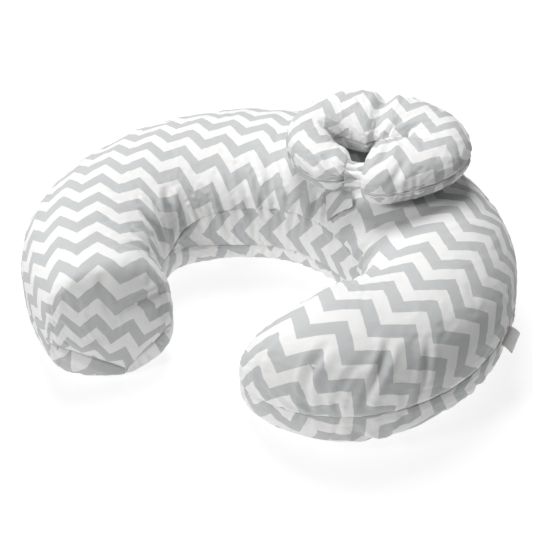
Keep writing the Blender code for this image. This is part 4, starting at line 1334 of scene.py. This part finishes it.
# ---------------------------------------------------------------- zip and elastic of the CAD
def paint_frame_parts(paint):
    """The small hard parts and the elastic stay as they are and only get materials."""
    kept = {"zip_tape_upper": "tape", "zip_tape_lower": "tape", "zip_coil_upper": "coil",
            "zip_coil_lower": "coil", "zip_stop_left": "metal", "zip_stop_right": "metal",
            "zip_slider": "metal", "zip_pull": "metal", "head_bridge_elastic": "elastic"}
    for name, finish in kept.items():
        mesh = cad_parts[name].data
        mesh.materials.clear()
        mesh.materials.append(paint[finish])


# ---------------------------------------------------------------- stage
CAMERA_AT = (0.6228, -1.2741, 1.2597)
CAMERA_ELEVATION, CAMERA_AZIMUTH, CAMERA_ROLL = (math.radians(a) for a in (40.34, 26.91, -2.0))
CAMERA_LENS = 104.0
FLOOR_SIZE = 60.0
FLOOR_GLOW = 0.82         # the floor is lit a little from within, to be white
WORLD_LIGHT = 0.06


def make_camera():
    data = bpy.data.cameras.new("camera")
    data.lens = CAMERA_LENS
    data.sensor_width = 36.0
    camera = new_object("camera", data)
    level = math.cos(CAMERA_ELEVATION)
    back = Vector((math.sin(CAMERA_AZIMUTH) * level, -math.cos(CAMERA_AZIMUTH) * level,
                   math.sin(CAMERA_ELEVATION)))
    right = Vector((0.0, 0.0, 1.0)).cross(back).normalized()
    up = back.cross(right)
    cosine, sine = math.cos(CAMERA_ROLL), math.sin(CAMERA_ROLL)
    turned_right, turned_up = right * cosine + up * sine, up * cosine - right * sine
    turn = Matrix((turned_right, turned_up, back)).transposed()
    camera.matrix_world = Matrix.Translation(CAMERA_AT) @ turn.to_4x4()
    bpy.context.scene.camera = camera


def make_light(name, place, aim, size, power):
    data = bpy.data.lights.new(name, "AREA")
    data.shape = "DISK"
    data.size = size
    data.energy = power
    light = new_object(name, data)
    light.location = place
    light.rotation_euler = (Vector(aim) - Vector(place)).to_track_quat("-Z", "Y").to_euler()


def make_stage():
    bm = bmesh.new()
    bmesh.ops.create_grid(bm, x_segments=1, y_segments=1, size=FLOOR_SIZE / 2.0)
    mesh = bpy.data.meshes.new("floor")
    bm.to_mesh(mesh)
    bm.free()
    floor = new_object("floor", mesh)
    shade = Shade("pale_floor", (0.22, 0.22, 0.22), 0.8)
    shade.shader.inputs["Emission Color"].default_value = (1.0, 1.0, 1.0, 1.0)
    shade.shader.inputs["Emission Strength"].default_value = FLOOR_GLOW
    mesh.materials.append(shade.material)
    world = bpy.data.worlds.new("studio")
    world.use_nodes = True
    background = world.node_tree.nodes["Background"]
    background.inputs["Color"].default_value = (1.0, 1.0, 1.0, 1.0)
    background.inputs["Strength"].default_value = WORLD_LIGHT
    bpy.context.scene.world = world
    make_light("overhead", (-0.6, 0.8, 2.4), (0.0, 0.0, 0.05), 1.4, 60.0)
    make_light("front", (-1.1, -1.9, 1.7), (0.0, 0.0, 0.08), 0.7, 34.0)
    scene = bpy.context.scene
    scene.view_settings.view_transform = "Standard"
    scene.view_settings.look = "None"


# ---------------------------------------------------------------- everything
def build():
    paint = {
        "chevron": chevron_cotton(),
        "case": plain_cloth("case_cotton", (0.90, 0.89, 0.86), 0.9, 500.0),
        "fibre": loose_fibre(),
        "tape": plain_cloth("zip_tape", (0.86, 0.87, 0.88), 0.8, 420.0),
        "coil": nylon_teeth(),
        "metal": worn_metal(),
        "satin": satin(),
        "elastic": plain_cloth("braided_elastic", (0.92, 0.92, 0.91), 0.7, 260.0),
        "fuzz": fuzzy_tape(),
    }
    make_camera()
    make_stage()
    pillow = BigPillow()
    surface = make_big_pillow(pillow, paint)
    ring = make_head_pillow(pillow, surface, paint)
    make_bridge(ring, paint)
    make_tie_flap(surface, paint)
    make_label(pillow, paint)
    paint_frame_parts(paint)


build()
